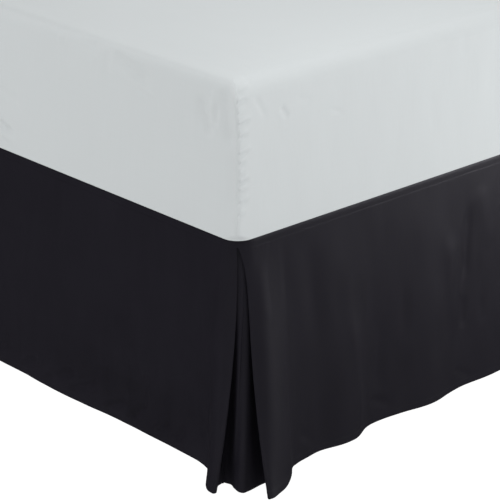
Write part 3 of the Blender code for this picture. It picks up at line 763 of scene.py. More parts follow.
def creased(creases, along, rise):
    """Depth of all creases at a place: each is deepest along its line and fades over its ends and sides.

    With q the distance from the line over its half width and t the share of the way along it, a crease is
    depth (1 - 0.6 q squared) exp(-q squared), times a soft rise over its first third and a soft fall over
    its last third.
    """
    total = np.zeros_like(along)
    for crease in creases:
        step = (crease.to_along - crease.along, crease.to_rise - crease.rise)
        length = math.hypot(*step)
        share = ((along - crease.along) * step[0] + (rise - crease.rise) * step[1]) / length**2
        across = ((along - crease.along) * step[1] - (rise - crease.rise) * step[0]) / length
        q = (across / crease.width) ** 2
        ends = eased((share + 0.10) / 0.33) * eased((1.10 - share) / 0.33)
        total += crease.depth * (1 - 0.6 * q) * np.exp(-q) * ends
    return total


def unevenness(along, rise, phase):
    """The cloth's own slight waves: a sum of four sines of along and rise, 0.62 mm at the very most."""
    waves = ((0.00024, 47, 9, 1), (0.00018, 83, -21, 2), (0.00012, 29, 52, 3), (0.00008, 131, 37, 5))
    return sum(height * np.sin(across * along + up * rise + turn * phase)
               for height, across, up, turn in waves)


def puckers(along, below, phase):
    """Small gathers at a sewn seam: uneven ripples that die out some 15 mm below it."""
    wave = sum(height * np.sin(across * along + turn * phase)
               for height, across, turn in ((1, 560, 1), (0.7, 371, 2.3), (0.5, 893, 0.7)))
    return PUCKER * wave * (0.6 + 0.4 * np.sin(31 * along + phase)) * np.exp(-(below / PUCKER_REACH) ** 2)


def skirt_rows(hem):
    """Falls of a drop's rows: close at the seam, at the hem's stitches and over the hem's rounded edge."""
    low = DROP - hem
    edge = np.array([0.0026, 0.0016, 0.0009, 0.0004, 0.0])
    depth = spread_steps((0, 0.012, DROP - 0.060, low - 0.003, low + 0.003, DROP - edge[0]), ROW_STEPS)
    return np.concatenate([depth[:-1], DROP - edge]) / DROP


def hem_layers(rise, cloth, hem):
    """Half thicknesses of a drop outwards and inwards: one layer, more in the turned hem, a rounded edge.

    The stitches sink the hem by a bell of the height, and its lower edge is rounded by a circle's root.
    """
    band = eased((hem + 0.0006 - rise) / 0.0014)
    stitched = np.exp(-((rise - hem + STITCH_LINE) / HEM_ROUND) ** 2)
    rounded = np.sqrt(1 - (np.clip(HEM_ROUND - rise, 0, HEM_ROUND - 0.00002) / HEM_ROUND) ** 2)
    return [(cloth / 2 + layers * band - sunk * stitched) * rounded
            for layers, sunk in ((0.00020, 0.00012), (0.00045, 0.00010))]


def add_piece(name, vertices, faces, material, places=None, smooth_angle=None):
    """A mesh piece with outward faces, smooth shading and, where given, (along, down) for each vertex."""
    mesh = bpy.data.meshes.new(name)
    mesh.vertices.add(len(vertices))
    mesh.vertices.foreach_set("co", np.ascontiguousarray(vertices, dtype=np.float32).ravel())
    corners = np.concatenate([np.asarray(part).ravel() for part in faces]).astype(np.int32)
    sizes = np.concatenate([np.full(len(part), np.asarray(part).shape[1]) for part in faces])
    mesh.loops.add(len(corners))
    mesh.loops.foreach_set("vertex_index", corners)
    mesh.polygons.add(len(sizes))
    mesh.polygons.foreach_set("loop_start", (np.cumsum(sizes) - sizes).astype(np.int32))
    mesh.update(calc_edges=True)
    if places is not None:
        layer = mesh.uv_layers.new(name="cloth")
        layer.data.foreach_set("uv", np.asarray(places, dtype=np.float32)[corners].ravel())
    mesh.validate()
    mesh.shade_smooth()
    if smooth_angle is not None:
        mesh.set_sharp_from_angle(angle=math.radians(smooth_angle))
    mesh.materials.append(material)
    piece = bpy.data.objects.new(name, mesh)
    bpy.context.collection.objects.link(piece)
    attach(piece, "root")
    return piece


def grid_cells(rows, columns, closed=False):
    """Four corners of each cell of a grid of points; closed joins the last column to the first."""
    index = np.arange(rows * columns).reshape(rows, columns)
    if closed:
        index = np.concatenate([index, index[:, :1]], axis=1)
    cells = np.stack([index[:-1, :-1], index[:-1, 1:], index[1:, 1:], index[1:, :-1]], axis=-1)
    return cells.reshape(-1, 4)


def add_sheet(name, front, back, material, places, capped=False):
    """A closed sheet from two grids of points: its front, its back behind it, and a rim joining their edges.

    The front's rows go down and its columns go to the right as seen from outside. A capped sheet's first
    row goes round a flat middle, and its rim crosses straight from that row's end to its start.
    """
    rows, columns = front.shape[:2]
    count = rows * columns
    index = np.arange(count).reshape(rows, columns)
    cells = grid_cells(rows, columns)
    faces = [cells[:, ::-1], cells + count]
    first = index[0]
    if capped:
        faces += [index[:1], index[:1, ::-1] + count]
        first = index[0, [0, -1]]
    for line in (first, index[:, -1], index[-1, ::-1], index[::-1, 0]):
        faces.append(np.stack([line[:-1], line[1:], line[1:] + count, line[:-1] + count], axis=1))
    vertices = np.concatenate([front.reshape(-1, 3), back.reshape(-1, 3)])
    return add_piece(name, vertices, faces, material, np.concatenate([places.reshape(-1, 2)] * 2),
                     SMOOTH_CLOTH)


def with_heights(points, heights):
    """(row, column, 3) points from plan points and a height for each row."""
    level = np.broadcast_to(heights[:, None, None], points.shape[:2] + (1,))
    return np.concatenate([points, level], axis=-1)


def cloth_places(across, fall):
    """(along, down) on the cloth, in metres, for columns across it and falls down it."""
    return np.stack(np.broadcast_arrays(across[None, :], (DROP * fall)[:, None]), axis=-1)


def drop_half(half, fall, runs, plan, settings):
    """Front and back of a drop's half in plan, from its return's inner edge to its far end, and its places.

    The mid-thickness path is the return, the fold's turn and the face. The face is then moved inwards by its
    creases, its unevenness and its seam's puckers, as far as the return behind it leaves room.
    """
    turn, back, _ = drop_return(half, fall, SEEN_COLUMNS, SEEN_TURNS)
    face = drop_face(half, fall, runs)
    along = face[..., 0]
    rise = np.broadcast_to((DROP * (1 - fall))[:, None], along.shape)
    moved = (creased(half.creases, along, rise) + unevenness(along, rise, half.phase)) * settings.creasing
    free = eased((runs - return_depth(half.lobe, fall)) / BACKED_REACH)
    moved = np.where(moved > 0, moved * (BACKED + (1 - BACKED) * free), moved)
    moved += puckers(along, DROP - rise, half.phase)
    moved += SEAM_SINK * np.exp(-((DROP - rise) / SEAM_SINK_REACH) ** 2)
    face = face + right_normals(face) * (moved * eased(runs / FOLD_SIDE))[..., None]
    path = np.concatenate([back[:, ::-1], turn[:, ::-1], face], axis=1)
    inward = right_normals(path)
    outer, inner = hem_layers(DROP * (1 - fall), settings.cloth, settings.hem)
    front = plan(path - inward * outer[:, None, None])
    rear = plan(path + inward * inner[:, None, None])
    behind = np.linspace(half.lobe.seam_depth, 0.001, back.shape[1] + turn.shape[1])
    return front, rear, cloth_places(np.concatenate([-behind, runs]), fall)


def hung_sheet(name, front, rear, places, fall, mirrored, turned, material):
    """A sheet from its two faces in plan at a corner, its columns turned round where that faces them out."""
    order = slice(None, None, -1 if turned else 1)
    heights = SEAM - DROP * fall
    front, rear = (with_heights(in_bed(face, mirrored), heights)[:, order] for face in (front, rear))
    return add_sheet(name, front, rear, material, places[:, order])


def side_drop(name, half, mirrored, material, settings):
    """A long side's drop from its foot corner to the head."""
    fall = skirt_rows(settings.hem)
    last = LENGTH - CORNER_RADIUS + ARC_HALF - FOLD_START
    runs = spread_steps(COLUMN_PLACES + (0.620, last), NEAR_STEPS + (0.0085,))
    front, rear, places = drop_half(half, fall, runs, side_plan, settings)
    front[:, -1, 1] = rear[:, -1, 1] = LENGTH
    return hung_sheet(name, front, rear, places, fall, mirrored, not mirrored, material)


def foot_drop(name, material, settings):
    """The foot's drop: two halves from their own corners, eased into each other at the middle."""
    fall = skirt_rows(settings.hem)
    last = WIDTH / 2 - CORNER_RADIUS + ARC_HALF - FOLD_START
    near, far = (drop_half(half, fall, spread_steps(COLUMN_PLACES + (last,), steps), foot_plan, settings)
                 for half, steps in ((FOOT_LEFT_HALF, NEAR_STEPS), (FOOT_RIGHT_HALF, FAR_STEPS)))
    faces = []
    for one, other in zip(near[:2], far[:2]):
        middle = (one[:, -1, 1] + other[:, -1, 1]) / 2
        other = other * (-1, 1) + (WIDTH, 0)
        for half in (one, other):
            away = np.abs(half[..., 0] - WIDTH / 2)
            half[..., 1] += (middle - half[:, -1, 1])[:, None] * eased(1 - away / HALVES_BLEND)
        joint = np.stack([np.full(len(fall), WIDTH / 2), middle], axis=-1)[:, None]
        faces.append(np.concatenate([one[:, :-1], joint, other[:, -2::-1]], axis=1))
    across = np.concatenate([near[2][0, :, 0], 2 * near[2][0, -1, 0] - far[2][0, -2::-1, 0]])
    return hung_sheet(name, *faces, cloth_places(across, fall), fall, False, False, material)


def insert_piece(name, halves, mirrored, material, settings, phase):
    """A pleat's insert, hung from the seam behind the folds of its side's half and its foot's half."""
    fall = skirt_rows(settings.hem)
    path = corner_insert(*halves, fall, INSERT_COLUMNS)
    outward = right_normals(path)
    length = np.linspace(-INSERT_HALF, INSERT_HALF, path.shape[1])
    wave = unevenness(length, DROP * (1 - fall)[:, None], phase)
    path = path + outward * (wave * (1 - (length / INSERT_HALF) ** 2))[..., None]
    outer, inner = hem_layers(DROP * (1 - fall), settings.cloth, settings.hem)
    return hung_sheet(name, path + outward * outer[:, None, None], path - outward * inner[:, None, None],
                      cloth_places(length, fall), fall, mirrored, mirrored, material)


def corner_arc(centre, radius, start, steps):
    """Points of a quarter circle in plan, from a start angle, turning left."""
    angle = start + np.linspace(0, math.pi / 2, steps + 1)
    return np.stack([centre[0] + radius * np.cos(angle), centre[1] + radius * np.sin(angle)], axis=-1)


def between(start, end, share):
    """Points at shares of the way from a start to an end."""
    return np.asarray(start) * (1 - share[:, None]) + np.asarray(end) * share[:, None]


def bed_outline(inset, corner, shares, steps, open_head=False):
    """The bed's rounded rectangle, inset, turning left from the foot's left corner; open_head starts and
    ends it at the head.

    shares are where the points of the left side, the foot, the right side and the head lie, from 0 to 1 of
    each straight, measured from the foot or the left.
    """
    left = LEFT + inset
    right = RIGHT - inset
    foot = FOOT + inset
    head = HEAD if open_head else HEAD - inset
    radius = max(corner - inset, SMALLEST_CORNER)
    near = corner_arc((left + radius, foot + radius), radius, math.pi, steps)
    far = corner_arc((right - radius, foot + radius), radius, 1.5 * math.pi, steps)
    rise = 0 if open_head else radius
    left_side = between(near[0], (left, head - rise), shares[0])[::-1]
    foot_side = between(near[-1], far[0], shares[1])
    right_side = between(far[-1], (right, head - rise), shares[2])
    if open_head:
        return np.concatenate([[(left, head)], left_side, near, foot_side, far, right_side, [(right, head)]])
    head_right = corner_arc((right - radius, head - radius), radius, 0, steps)
    head_left = corner_arc((left + radius, head - radius), radius, math.pi / 2, steps)
    head_side = between(head_left[0], head_right[-1], shares[3])[::-1]
    return np.concatenate([near, foot_side, far, right_side, head_right, head_side, head_left, left_side])


def side_shares(length, places, steps):
    """Shares of a straight of a length, its points in steps between places measured from its start."""
    return spread_steps(tuple(places) + (length,), steps)[1:-1] / length


def closed_form(rings):
    """Points and faces of a closed form: rings turning left from below up, and a pole at either end."""
    levels, count = rings.shape[:2]
    ring = np.arange(count)
    following = (ring + 1) % count
    last = (levels - 1) * count
    pole = np.full(count, levels * count)
    faces = [grid_cells(levels, count, closed=True), np.stack([following, ring, pole], axis=1),
             np.stack([ring + last, following + last, pole + 1], axis=1)]
    poles = np.stack([rings[0].mean(axis=0), rings[-1].mean(axis=0)])
    return np.concatenate([rings.reshape(-1, 3), poles]), faces


def joined(forms):
    """Several closed forms as one list of points and one of faces."""
    starts = np.cumsum([0] + [len(vertices) for vertices, _ in forms])
    faces = [part + start for (_, parts), start in zip(forms, starts) for part in parts]
    return np.concatenate([vertices for vertices, _ in forms]), faces


def roll_curve(turn, width, height):
    """Insets and heights of the deck's roll: a squared quarter round, by the roots of sine and cosine."""
    return (ROLL_WIDTH - width * np.sqrt(np.sin(turn)),
            DECK_TOP - ROLL_HEIGHT + height * np.sqrt(np.maximum(np.cos(turn), 0)))


def deck_layer(width, height):
    """Rings of one face of the deck: its flat's edge, the roll over its edges and the lip in the seam.

    They move in and out by the seam's puckers and by a sine along the edge times half a sine over the roll.
    """
    shares = (side_shares(1.99, (0, 0.6), (0.006, 0.012)), side_shares(1.45, (0, 0.7), (0.006, 0.012)),
              side_shares(1.99, (0,), (0.012,)))
    over, down = roll_curve(np.linspace(0, math.pi / 2, 17), width, height)
    insets = np.concatenate([[CORNER_RADIUS - 0.0005], over, over[-1:]])
    heights = np.concatenate([down[:1], down, [SEAM - 0.0004]])
    place = np.stack([bed_outline(inset, CORNER_RADIUS, shares, 14, open_head=True) for inset in insets])
    inward = unit(place[0] - place[-1])
    travel = np.concatenate([[0], np.cumsum(np.linalg.norm(np.diff(place[-1], axis=0), axis=1))])
    below = (heights - DECK_TOP + SEAM_DROP)[:, None]
    moved = DECK_PUCKERS * puckers(travel, below, 0.9)
    moved += DECK_WAVE * np.sin(23 * travel) * np.sin(math.pi * np.clip(insets / ROLL_WIDTH, 0, 1))[:, None]
    return with_heights(place + inward * moved[..., None], heights), travel


def deck_piece(name, material, settings):
    """The deck: flat on the box spring, rolled over three edges down to the drops' seam, flat at the head."""
    (outer, travel), (inner, _) = (
        deck_layer(ROLL_WIDTH - SEAM_INSET - cloth, ROLL_HEIGHT - cloth) for cloth in (0, settings.cloth))
    down = np.linspace(0, 0.02, len(outer))[:, None]
    return add_sheet(name, outer, inner, material, np.stack(np.broadcast_arrays(travel, down), axis=-1), True)


def bed_form(insets, heights, corners, shares, steps, below, above):
    """Rings of the bed's outline at insets and heights, the first and last of them drawn in by scales too."""
    outlines = np.stack([bed_outline(inset, corner, shares, steps) for inset, corner in zip(insets, corners)])
    middle = np.array([(LEFT + RIGHT) / 2, (FOOT + HEAD) / 2])
    low, high = (middle + (outline - middle) * np.array(scales)[:, None, None]
                 for outline, scales in ((outlines[0], below), (outlines[-1], above)))
    levels = np.concatenate([np.full(len(below), heights[0]), heights, np.full(len(above), heights[-1])])
    return with_heights(np.concatenate([low, outlines, high]), levels)


def crown_height(points, crown):
    """How far the mattress's top rises: the crown times a soft shoulder from each pair of edges.

    Each shoulder is 1 less the exponential of the distance from the nearer edge over its own reach.
    """
    across, down = (
        np.clip(np.minimum(place - low, high - place) - MATTRESS_EDGE, 0, None)
        for place, low, high in ((points[..., 0], LEFT, RIGHT), (points[..., 1], FOOT, HEAD)))
    return crown * (1 - np.exp(-across / CROWN_ACROSS)) * (1 - np.exp(-down / CROWN_DOWN))


def mattress_piece(name, material, settings):
    """The mattress in its fitted sheet: rounded edges, a crowned top, bulged sides and a tucked corner seam.

    Its rings go from the middle of the bottom, down over the deck's roll, round the lower lip, up the side,
    round the upper edge and over the top to its middle. The side's rings stand out by the bulge times the
    sine of their share of the height, and its creases push it in.
    """
    shares = (
        side_shares(1.98, (0, 0.10, 0.62), (0.0030, 0.0050, 0.018)),
        side_shares(1.47, (0, 0.16, 0.62), (0.0028, 0.0050, 0.018)),
        side_shares(1.98, (0,), (0.018,)),
        side_shares(1.47, (0,), (0.018,)),
    )
    over, down = roll_curve(np.linspace(0, LIP_TURN, 6), ROLL_WIDTH - SEAM_INSET + GAP, ROLL_HEIGHT + GAP)
    lean = math.atan2(down[-2] - down[-1], over[-2] - over[-1])
    lip_inset = over[-1] - LIP_RADIUS * math.sin(lean)
    lip_height = down[-1] + LIP_RADIUS * math.cos(lean)
    lip = np.linspace(math.pi + lean, math.pi / 2, 9)[1:]
    upper = np.linspace(0, math.pi / 2, 19)
    middle = np.linspace(lip_height, MATTRESS_TOP - MATTRESS_EDGE, 96)[1:-1]
    slope = eased((middle - lip_height) / MATTRESS_DRAWS_IN)
    inside = MATTRESS_INSET + np.array([0.040, 0.050, 0.064, 0.082, 0.105, 0.135])
    insets = np.concatenate([
        [0.030], over, lip_inset - LIP_RADIUS * np.sin(lip),
        (lip_inset - LIP_RADIUS) * (1 - slope) + MATTRESS_INSET * slope,
        MATTRESS_INSET + MATTRESS_EDGE * (1 - np.cos(upper)), inside])
    heights = np.concatenate([
        [MATTRESS_BOTTOM], down, lip_height + LIP_RADIUS * np.cos(lip), middle,
        MATTRESS_TOP - MATTRESS_EDGE * (1 - np.sin(upper)), np.full(len(inside), MATTRESS_TOP)])
    tight = eased((heights - MATTRESS_BOTTOM) / MATTRESS_TIGHTENS)
    corners = MATTRESS_CORNER * (1 - tight) + MATTRESS_SEAM_CORNER * tight + MATTRESS_INSET
    rings = bed_form(insets, heights, corners, shares, 14, (0.02, 0.3, 0.6, 0.85),
                     (0.94, 0.87, 0.79, 0.70, 0.60, 0.49, 0.37, 0.24, 0.10, 0.01))
    lowest = MATTRESS_BOTTOM - LIP_DEPTH * eased((HEAD - MATTRESS_CORNER - rings[..., 1]) / LIP_DEPTH)
    rings[..., 2] = np.maximum(rings[..., 2], lowest)
    rings[..., 2] += crown_height(rings[..., :2], settings.crown) * (rings[..., 2] > MATTRESS_TOP - 1e-6)
    rings = mattress_relief(squarer_edge(rings), settings)
    return add_piece(name, *closed_form(rings), material)


def squarer_edge(rings):
    """Square the upper edge of the left side, where the sheet is pulled tight over it.

    The edge's quarter circle takes its sine and cosine to a power below 1, the more the nearer the foot.
    """
    along = rings[..., 1] - FOOT
    cosine = np.clip(1 - (rings[..., 0] - LEFT - MATTRESS_INSET) / MATTRESS_EDGE, 0, 1)
    sine = np.clip(1 - (MATTRESS_TOP - rings[..., 2]) / MATTRESS_EDGE, 0, 1)
    power = EDGE_POWER + EDGE_POWER_GROWS * eased(along / EDGE_POWER_REACH - 1)
    share = MATTRESS_EDGE * eased((along - EDGE_START) / EDGE_COMES_IN) * (sine > 0)
    rings[..., 0] -= share * (cosine**power - cosine)
    rings[..., 2] += share * (sine**power - sine) * (cosine > 0)
    return rings


def mattress_relief(rings, settings):
    """Move the sheet's sides out by the bulge and in by their creases, the corner seam and its tucks."""
    x, y, z = rings[..., 0], rings[..., 1], rings[..., 2]
    rise = z - MATTRESS_BOTTOM
    side = eased(rise / 0.012) * eased((MATTRESS_HEIGHT - rise) / 0.020)
    bulge = settings.bulge * np.sin(math.pi * np.clip(rise / MATTRESS_HEIGHT, 0, 1))
    to_left, to_right, to_foot, to_head = x - LEFT, RIGHT - x, y - FOOT, HEAD - y
    plan = rings[..., :2].copy()
    for away, along, creases, axis, sign in (
            (to_left, to_foot, SHEET_LEFT_CREASES, 0, 1), (to_foot, to_left, SHEET_FOOT_CREASES, 1, 1),
            (to_right, to_foot, SHEET_RIGHT_CREASES, 0, -1), (to_head, to_left, SHEET_HEAD_CREASES, 1, -1)):
        on_face = eased(1 - (away - MATTRESS_INSET) / CREASES_FADE) * side
        moved = creased(creases, along, rise) - bulge + unevenness(along, rise, 3.1)
        rings[..., axis] += sign * moved * on_face
    return corner_seam(rings, plan, rise, side)


def corner_seam(rings, plan, rise, side):
    """Sink each corner's vertical seam and pull short slanted tucks towards it, by the sides' plain plan.

    The seam is a bell of the distance across the corner. Each tuck is a trough with a softer ridge above
    it, both bells of the height, and its height climbs with that distance.
    """
    for left, foot, phase in ((True, True, 0.0), (False, True, 1.1), (False, False, 2.3), (True, False, 3.7)):
        x = plan[..., 0] - LEFT if left else RIGHT - plan[..., 0]
        y = plan[..., 1] - FOOT if foot else HEAD - plan[..., 1]
        near = np.exp(-((x**2 + y**2) / SEAM_REACH**2) ** 2) * side
        offset = (x - y) / math.sqrt(2)
        moved = (SEAM_IN - SEAM_OUT * eased((0.085 - rise) / 0.040)) * np.exp(-(offset / SEAM_HALF) ** 2)
        for tuck in CORNER_TUCKS:
            above = rise - tuck.rise - TUCK_SLANT * (offset - 0.002)
            above -= 0.0015 * math.sin(40 * tuck.rise + phase)
            length = eased((offset + 0.0005) / 0.004) * eased((tuck.reach - offset) / 0.010)
            trough = TUCK_TROUGH * np.exp(-(above / TUCK_TROUGH_HALF) ** 2)
            ridge = TUCK_RIDGE * np.exp(-((above - TUCK_RIDGE_RISE) / TUCK_RIDGE_HALF) ** 2)
            moved += tuck.depth * (trough - ridge) * length
        moved *= near / math.sqrt(2)
        rings[..., 0] += moved if left else -moved
        rings[..., 1] += moved if foot else -moved
    return rings


def box_spring_piece(name, material, settings):
    """The box spring: a padded top, a plain border, piping round both edges and a flat dust cover below."""
    shares = tuple(side_shares(length, (0,), (0.018,)) for length in (1.92, 1.41, 1.92, 1.41))
    radius = settings.piping / 2
    low = BOX_BOTTOM + radius + PIPING_LOW
    high = BOX_TOP - PIPING_HIGH
    border_foot, border_head, pad_foot = low + radius, high - radius, high + radius + PADDING_GAP
    bead = np.linspace(-math.pi / 2, math.pi / 2, 7)
    share = np.linspace(0.02, 0.98, 25)
    turn = np.linspace(0.1, math.pi / 2, 7)
    piping = PIPING_INSET - radius * np.cos(bead)
    insets = BOX_INSET + np.concatenate([
        [0.028, 0.004], piping, BORDER_INSET - BORDER_BULGE * np.sin(math.pi * share), piping,
        PADDING_INSET + PADDING_ROUND * (1 - np.cos(turn))])
    heights = np.concatenate([
        [BOX_BOTTOM, BOX_BOTTOM], low + radius * np.sin(bead),
        border_foot + (border_head - border_foot) * share, high + radius * np.sin(bead),
        pad_foot + (BOX_TOP - pad_foot) * np.sin(turn)])
    corners = np.full(len(insets), BOX_CORNER + BOX_INSET)
    rings = bed_form(insets, heights, corners, shares, 12, (0.02, 0.5), (0.9, 0.6, 0.3, 0.02))
    return add_piece(name, *closed_form(rings), material)


def square_outline(half, edge, steps=5):
    """A square of a half width with rounded edges, turning left."""
    parts = []
    for quarter, signs in enumerate(((1, 1), (-1, 1), (-1, -1), (1, -1))):
        angle = np.linspace(0, math.pi / 2, steps + 1) + quarter * math.pi / 2
        round_edge = edge * np.stack([np.cos(angle), np.sin(angle)], axis=-1)
        parts.append(np.array(signs) * (half - edge) + round_edge)
    return np.concatenate(parts)


def rail(low, high, axis, edge):
    """A square tube with plugged ends along x or y, between two corners of its box.

    Its rings are the plug's face, sunk a little and domed, the tube's rounded mouth, and its two ends.
    """
    centre = (np.asarray(low) + high) / 2
    start, end = low[axis], high[axis]
    scales, depths = np.array(PLUGGED_END).T
    scales = np.concatenate([scales, [1.0] * 3, scales[::-1]])
    places = np.concatenate([start + depths, np.linspace(start, end, 5)[1:-1], end - depths[::-1]])
    outline = square_outline(RAIL / 2, edge)
    across, up = np.moveaxis(outline * scales[:, None, None], -1, 0)
    rings = np.empty((len(scales), len(outline), 3))
    rings[..., axis] = places[:, None]
    rings[..., 1 - axis] = centre[1 - axis] + (across if axis == 0 else -across)
    rings[..., 2] = centre[2] + up
    return closed_form(rings)


def turned_form(profile, centre, sides):
    """A closed turned form: each ring of its profile swept round an upright axis."""
    angle = np.arange(sides) * 2 * math.pi / sides
    circle = np.stack([np.cos(angle), np.sin(angle)], axis=-1)
    radii, heights = np.array(profile).T
    return closed_form(with_heights(np.asarray(centre) + radii[:, None, None] * circle, heights))


# ---------------------------------------------------------------- finishes


def shade(colour, part=1.0):
    """A colour made darker or lighter by a factor, and opaque."""
    return tuple(part * channel for channel in colour) + (1.0,)


def brushed_cloth(settings):
    """The skirt's near-black brushed microfibre: a soft uneven nap, and the hem's small stitches."""
    board = Finish("brushed_cloth")
    along, down = board.cloth_place()
    clouds = board.noise(7.0, 3.0, 0.55, 0.4)
    streaks = board.noise((60.0, 60.0, 14.0), 3.0, 0.6)
    nap = board.noise(900.0, 2.0, 0.6)
    share = (clouds - 0.5) * 0.9 + (streaks - 0.5) * 0.45 + (nap - 0.5) * 0.5 + 0.5
    line = abs(DROP - down - (settings.hem - STITCH_LINE)).below(0.00030)
    stitch = line * (along % 0.0034).below(0.0026)
    colour = board.mixed(share, shade(settings.colour, 0.84), shade(settings.colour, 1.16))
    colour = board.mixed(stitch, colour, shade(settings.thread))
    soft = board.bump(board.noise((22.0, 22.0, 9.0), 3.0, 0.55), 0.0024, 0.22)
    fine = board.bump(nap + stitch * 0.8, 0.00022, 0.35, soft)
    board.set(Base_Color=colour, Roughness=0.46 + streaks * 0.08, Normal=fine, Specular_IOR_Level=0.50,
              Sheen_Weight=0.01, Sheen_Roughness=0.45,
              Sheen_Tint=(0.93, 0.90, 1.0, 1.0), Specular_Tint=(0.93, 0.91, 1.0, 1.0))
    return board.material


def sheet_cloth(settings):
    """The fitted sheet's pale, finely woven cotton with faint uneven yarns and soft small wrinkles."""
    board = Finish("sheet_cloth")
    up_yarns = board.noise((420.0, 420.0, 9.0), 2.0, 0.6)
    cross_yarns = board.noise((10.0, 10.0, 430.0), 2.0, 0.6)
    clouds = board.noise(5.0, 3.0, 0.5)
    share = (up_yarns - 0.5) * 0.55 + (cross_yarns - 0.5) * 0.35 + (clouds - 0.5) * 0.5 + 0.5
    soft = board.bump(board.noise((26.0, 26.0, 15.0), 4.0, 0.55, 0.6), 0.0030, 0.16)
    fine = board.bump(up_yarns + cross_yarns, 0.00015, 0.30, soft)
    board.set(Base_Color=board.mixed(share, shade(settings.sheet, 0.975), shade(settings.sheet, 1.025)),
              Roughness=0.84 + clouds * 0.06, Normal=fine, Specular_IOR_Level=0.20, Sheen_Weight=0.04,
              Sheen_Roughness=0.5)
    return board.material


def ticking_cloth(settings):
    """The box spring's off-white twill: fine slanting ribs and flecks."""
    board = Finish("ticking_cloth")
    split = board.node("ShaderNodeSeparateXYZ", inputs={0: board.place()})
    x, y, z = (Value(board, output) for output in split.outputs)
    ribs = ((x + y + z) * 2400.0).sine()
    flecks = board.noise((160.0, 160.0, 40.0), 3.0, 0.6)
    share = ribs * 0.12 + (flecks - 0.5) * 0.8 + 0.5
    board.set(Base_Color=board.mixed(share, shade(settings.ticking, 0.90), shade(settings.ticking, 1.06)),
              Roughness=0.80 + flecks * 0.08, Normal=board.bump(ribs + flecks, 0.0002, 0.3),
              Specular_IOR_Level=0.25)
    return board.material


def coated_steel(settings):
    """The bed frame's dark powder coat: orange peel, a little dust and rubbed patches."""
    board = Finish("coated_steel")
    peel = board.noise(620.0, 2.0, 0.5)
    dust = board.noise(14.0, 4.0, 0.6)
    board.set(Base_Color=board.mixed(dust, shade(settings.steel), shade(settings.steel, 1.7)),
              Roughness=0.42 + dust * 0.20, Normal=board.bump(peel, 0.0003, 0.35), Specular_IOR_Level=0.5)
    return board.material


def moulded_plastic(settings):
    """The glides' dark moulded plastic with a fine grain."""
    board = Finish("moulded_plastic")
    grain = board.noise(1300.0, 2.0, 0.6)
    scuffs = board.noise(55.0, 4.0, 0.65)
    board.set(Base_Color=board.mixed(scuffs, shade(settings.plastic), shade(settings.plastic, 1.8)),
              Roughness=0.45 + scuffs * 0.22, Normal=board.bump(grain, 0.0002, 0.3))
    return board.material


def floor_paint(settings):
    """The stage's pale floor, with a little light of its own."""
    board = Finish("floor_paint")
    board.set(Base_Color=shade(settings.floor), Roughness=0.9, Specular_IOR_Level=0.1,
              Emission_Color=(1.0, 1.0, 1.0, 1.0), Emission_Strength=settings.glow)
    return board.material


def finish_once(maker, settings):
    """A maker's finish, made the first time it is asked for and found by the maker's name after that."""
    return bpy.data.materials.get(maker.__name__) or maker(settings)


# ---------------------------------------------------------------- operators


class BEDSKIRT_OT_drops(bpy.types.Operator):
    """Build the three drops with their corner lobes, returns, soft folds and stitched hems"""

    bl_idname = "bed_skirt.drops"
    bl_label = "Drops"

    def execute(self, context):
        """Two side drops and the foot's drop."""
        settings = context.scene.skirt_settings
        cloth = finish_once(brushed_cloth, settings)
        left = side_drop("skirt_drop_left", LEFT_HALF, False, cloth, settings)
        right = side_drop("skirt_drop_right", RIGHT_HALF, True, cloth, settings)
        foot = foot_drop("skirt_drop_foot", cloth, settings)
        for piece, node, flat in ((left, "drop_left", (0.406, 2.110)), (right, "drop_right", (0.406, 2.110)),
                                  (foot, "drop_foot", (0.406, 1.670))):
            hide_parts(node)
        return {"FINISHED"}


class BEDSKIRT_OT_inserts(bpy.types.Operator):
    """Build the insert behind each corner pleat"""

    bl_idname = "bed_skirt.inserts"
    bl_label = "Pleat inserts"

    def execute(self, context):
        """The two inserts, hung from the seam behind the folds."""
        settings = context.scene.skirt_settings
        cloth = finish_once(brushed_cloth, settings)
        left = insert_piece("skirt_insert_left", (LEFT_HALF, FOOT_LEFT_HALF), False, cloth, settings, 2.1)
        right = insert_piece("skirt_insert_right", (RIGHT_HALF, FOOT_RIGHT_HALF), True, cloth, settings, 4.2)
        for piece, node in ((left, "insert_left"), (right, "insert_right")):
            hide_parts(node)
        return {"FINISHED"}


class BEDSKIRT_OT_deck(bpy.types.Operator):
    """Build the deck that lies on the box spring and turns down over its edges"""

    bl_idname = "bed_skirt.deck"
    bl_label = "Deck"

    def execute(self, context):
        """The deck's one sheet."""
        settings = context.scene.skirt_settings
        cloth = finish_once(brushed_cloth, settings)
        piece = deck_piece("skirt_deck", cloth, settings)
        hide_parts("deck")
        return {"FINISHED"}


class BEDSKIRT_OT_mattress(bpy.types.Operator):
    """Build the mattress in its fitted sheet"""

    bl_idname = "bed_skirt.mattress"
    bl_label = "Mattress"

    def execute(self, context):
        """The mattress as one padded form."""
        settings = context.scene.bedding_settings
        cloth = finish_once(sheet_cloth, settings)
        piece = mattress_piece("mattress_in_sheet", cloth, settings)
        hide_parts("mattress")
        return {"FINISHED"}


class BEDSKIRT_OT_box_spring(bpy.types.Operator):
    """Build the box spring in its ticking"""

    bl_idname = "bed_skirt.box_spring"
    bl_label = "Box spring"

    def execute(self, context):
        """The box spring as one padded form."""
        settings = context.scene.bedding_settings
        cloth = finish_once(ticking_cloth, settings)
        piece = box_spring_piece("box_spring_cover", cloth, settings)
        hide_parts("box_spring")
        return {"FINISHED"}


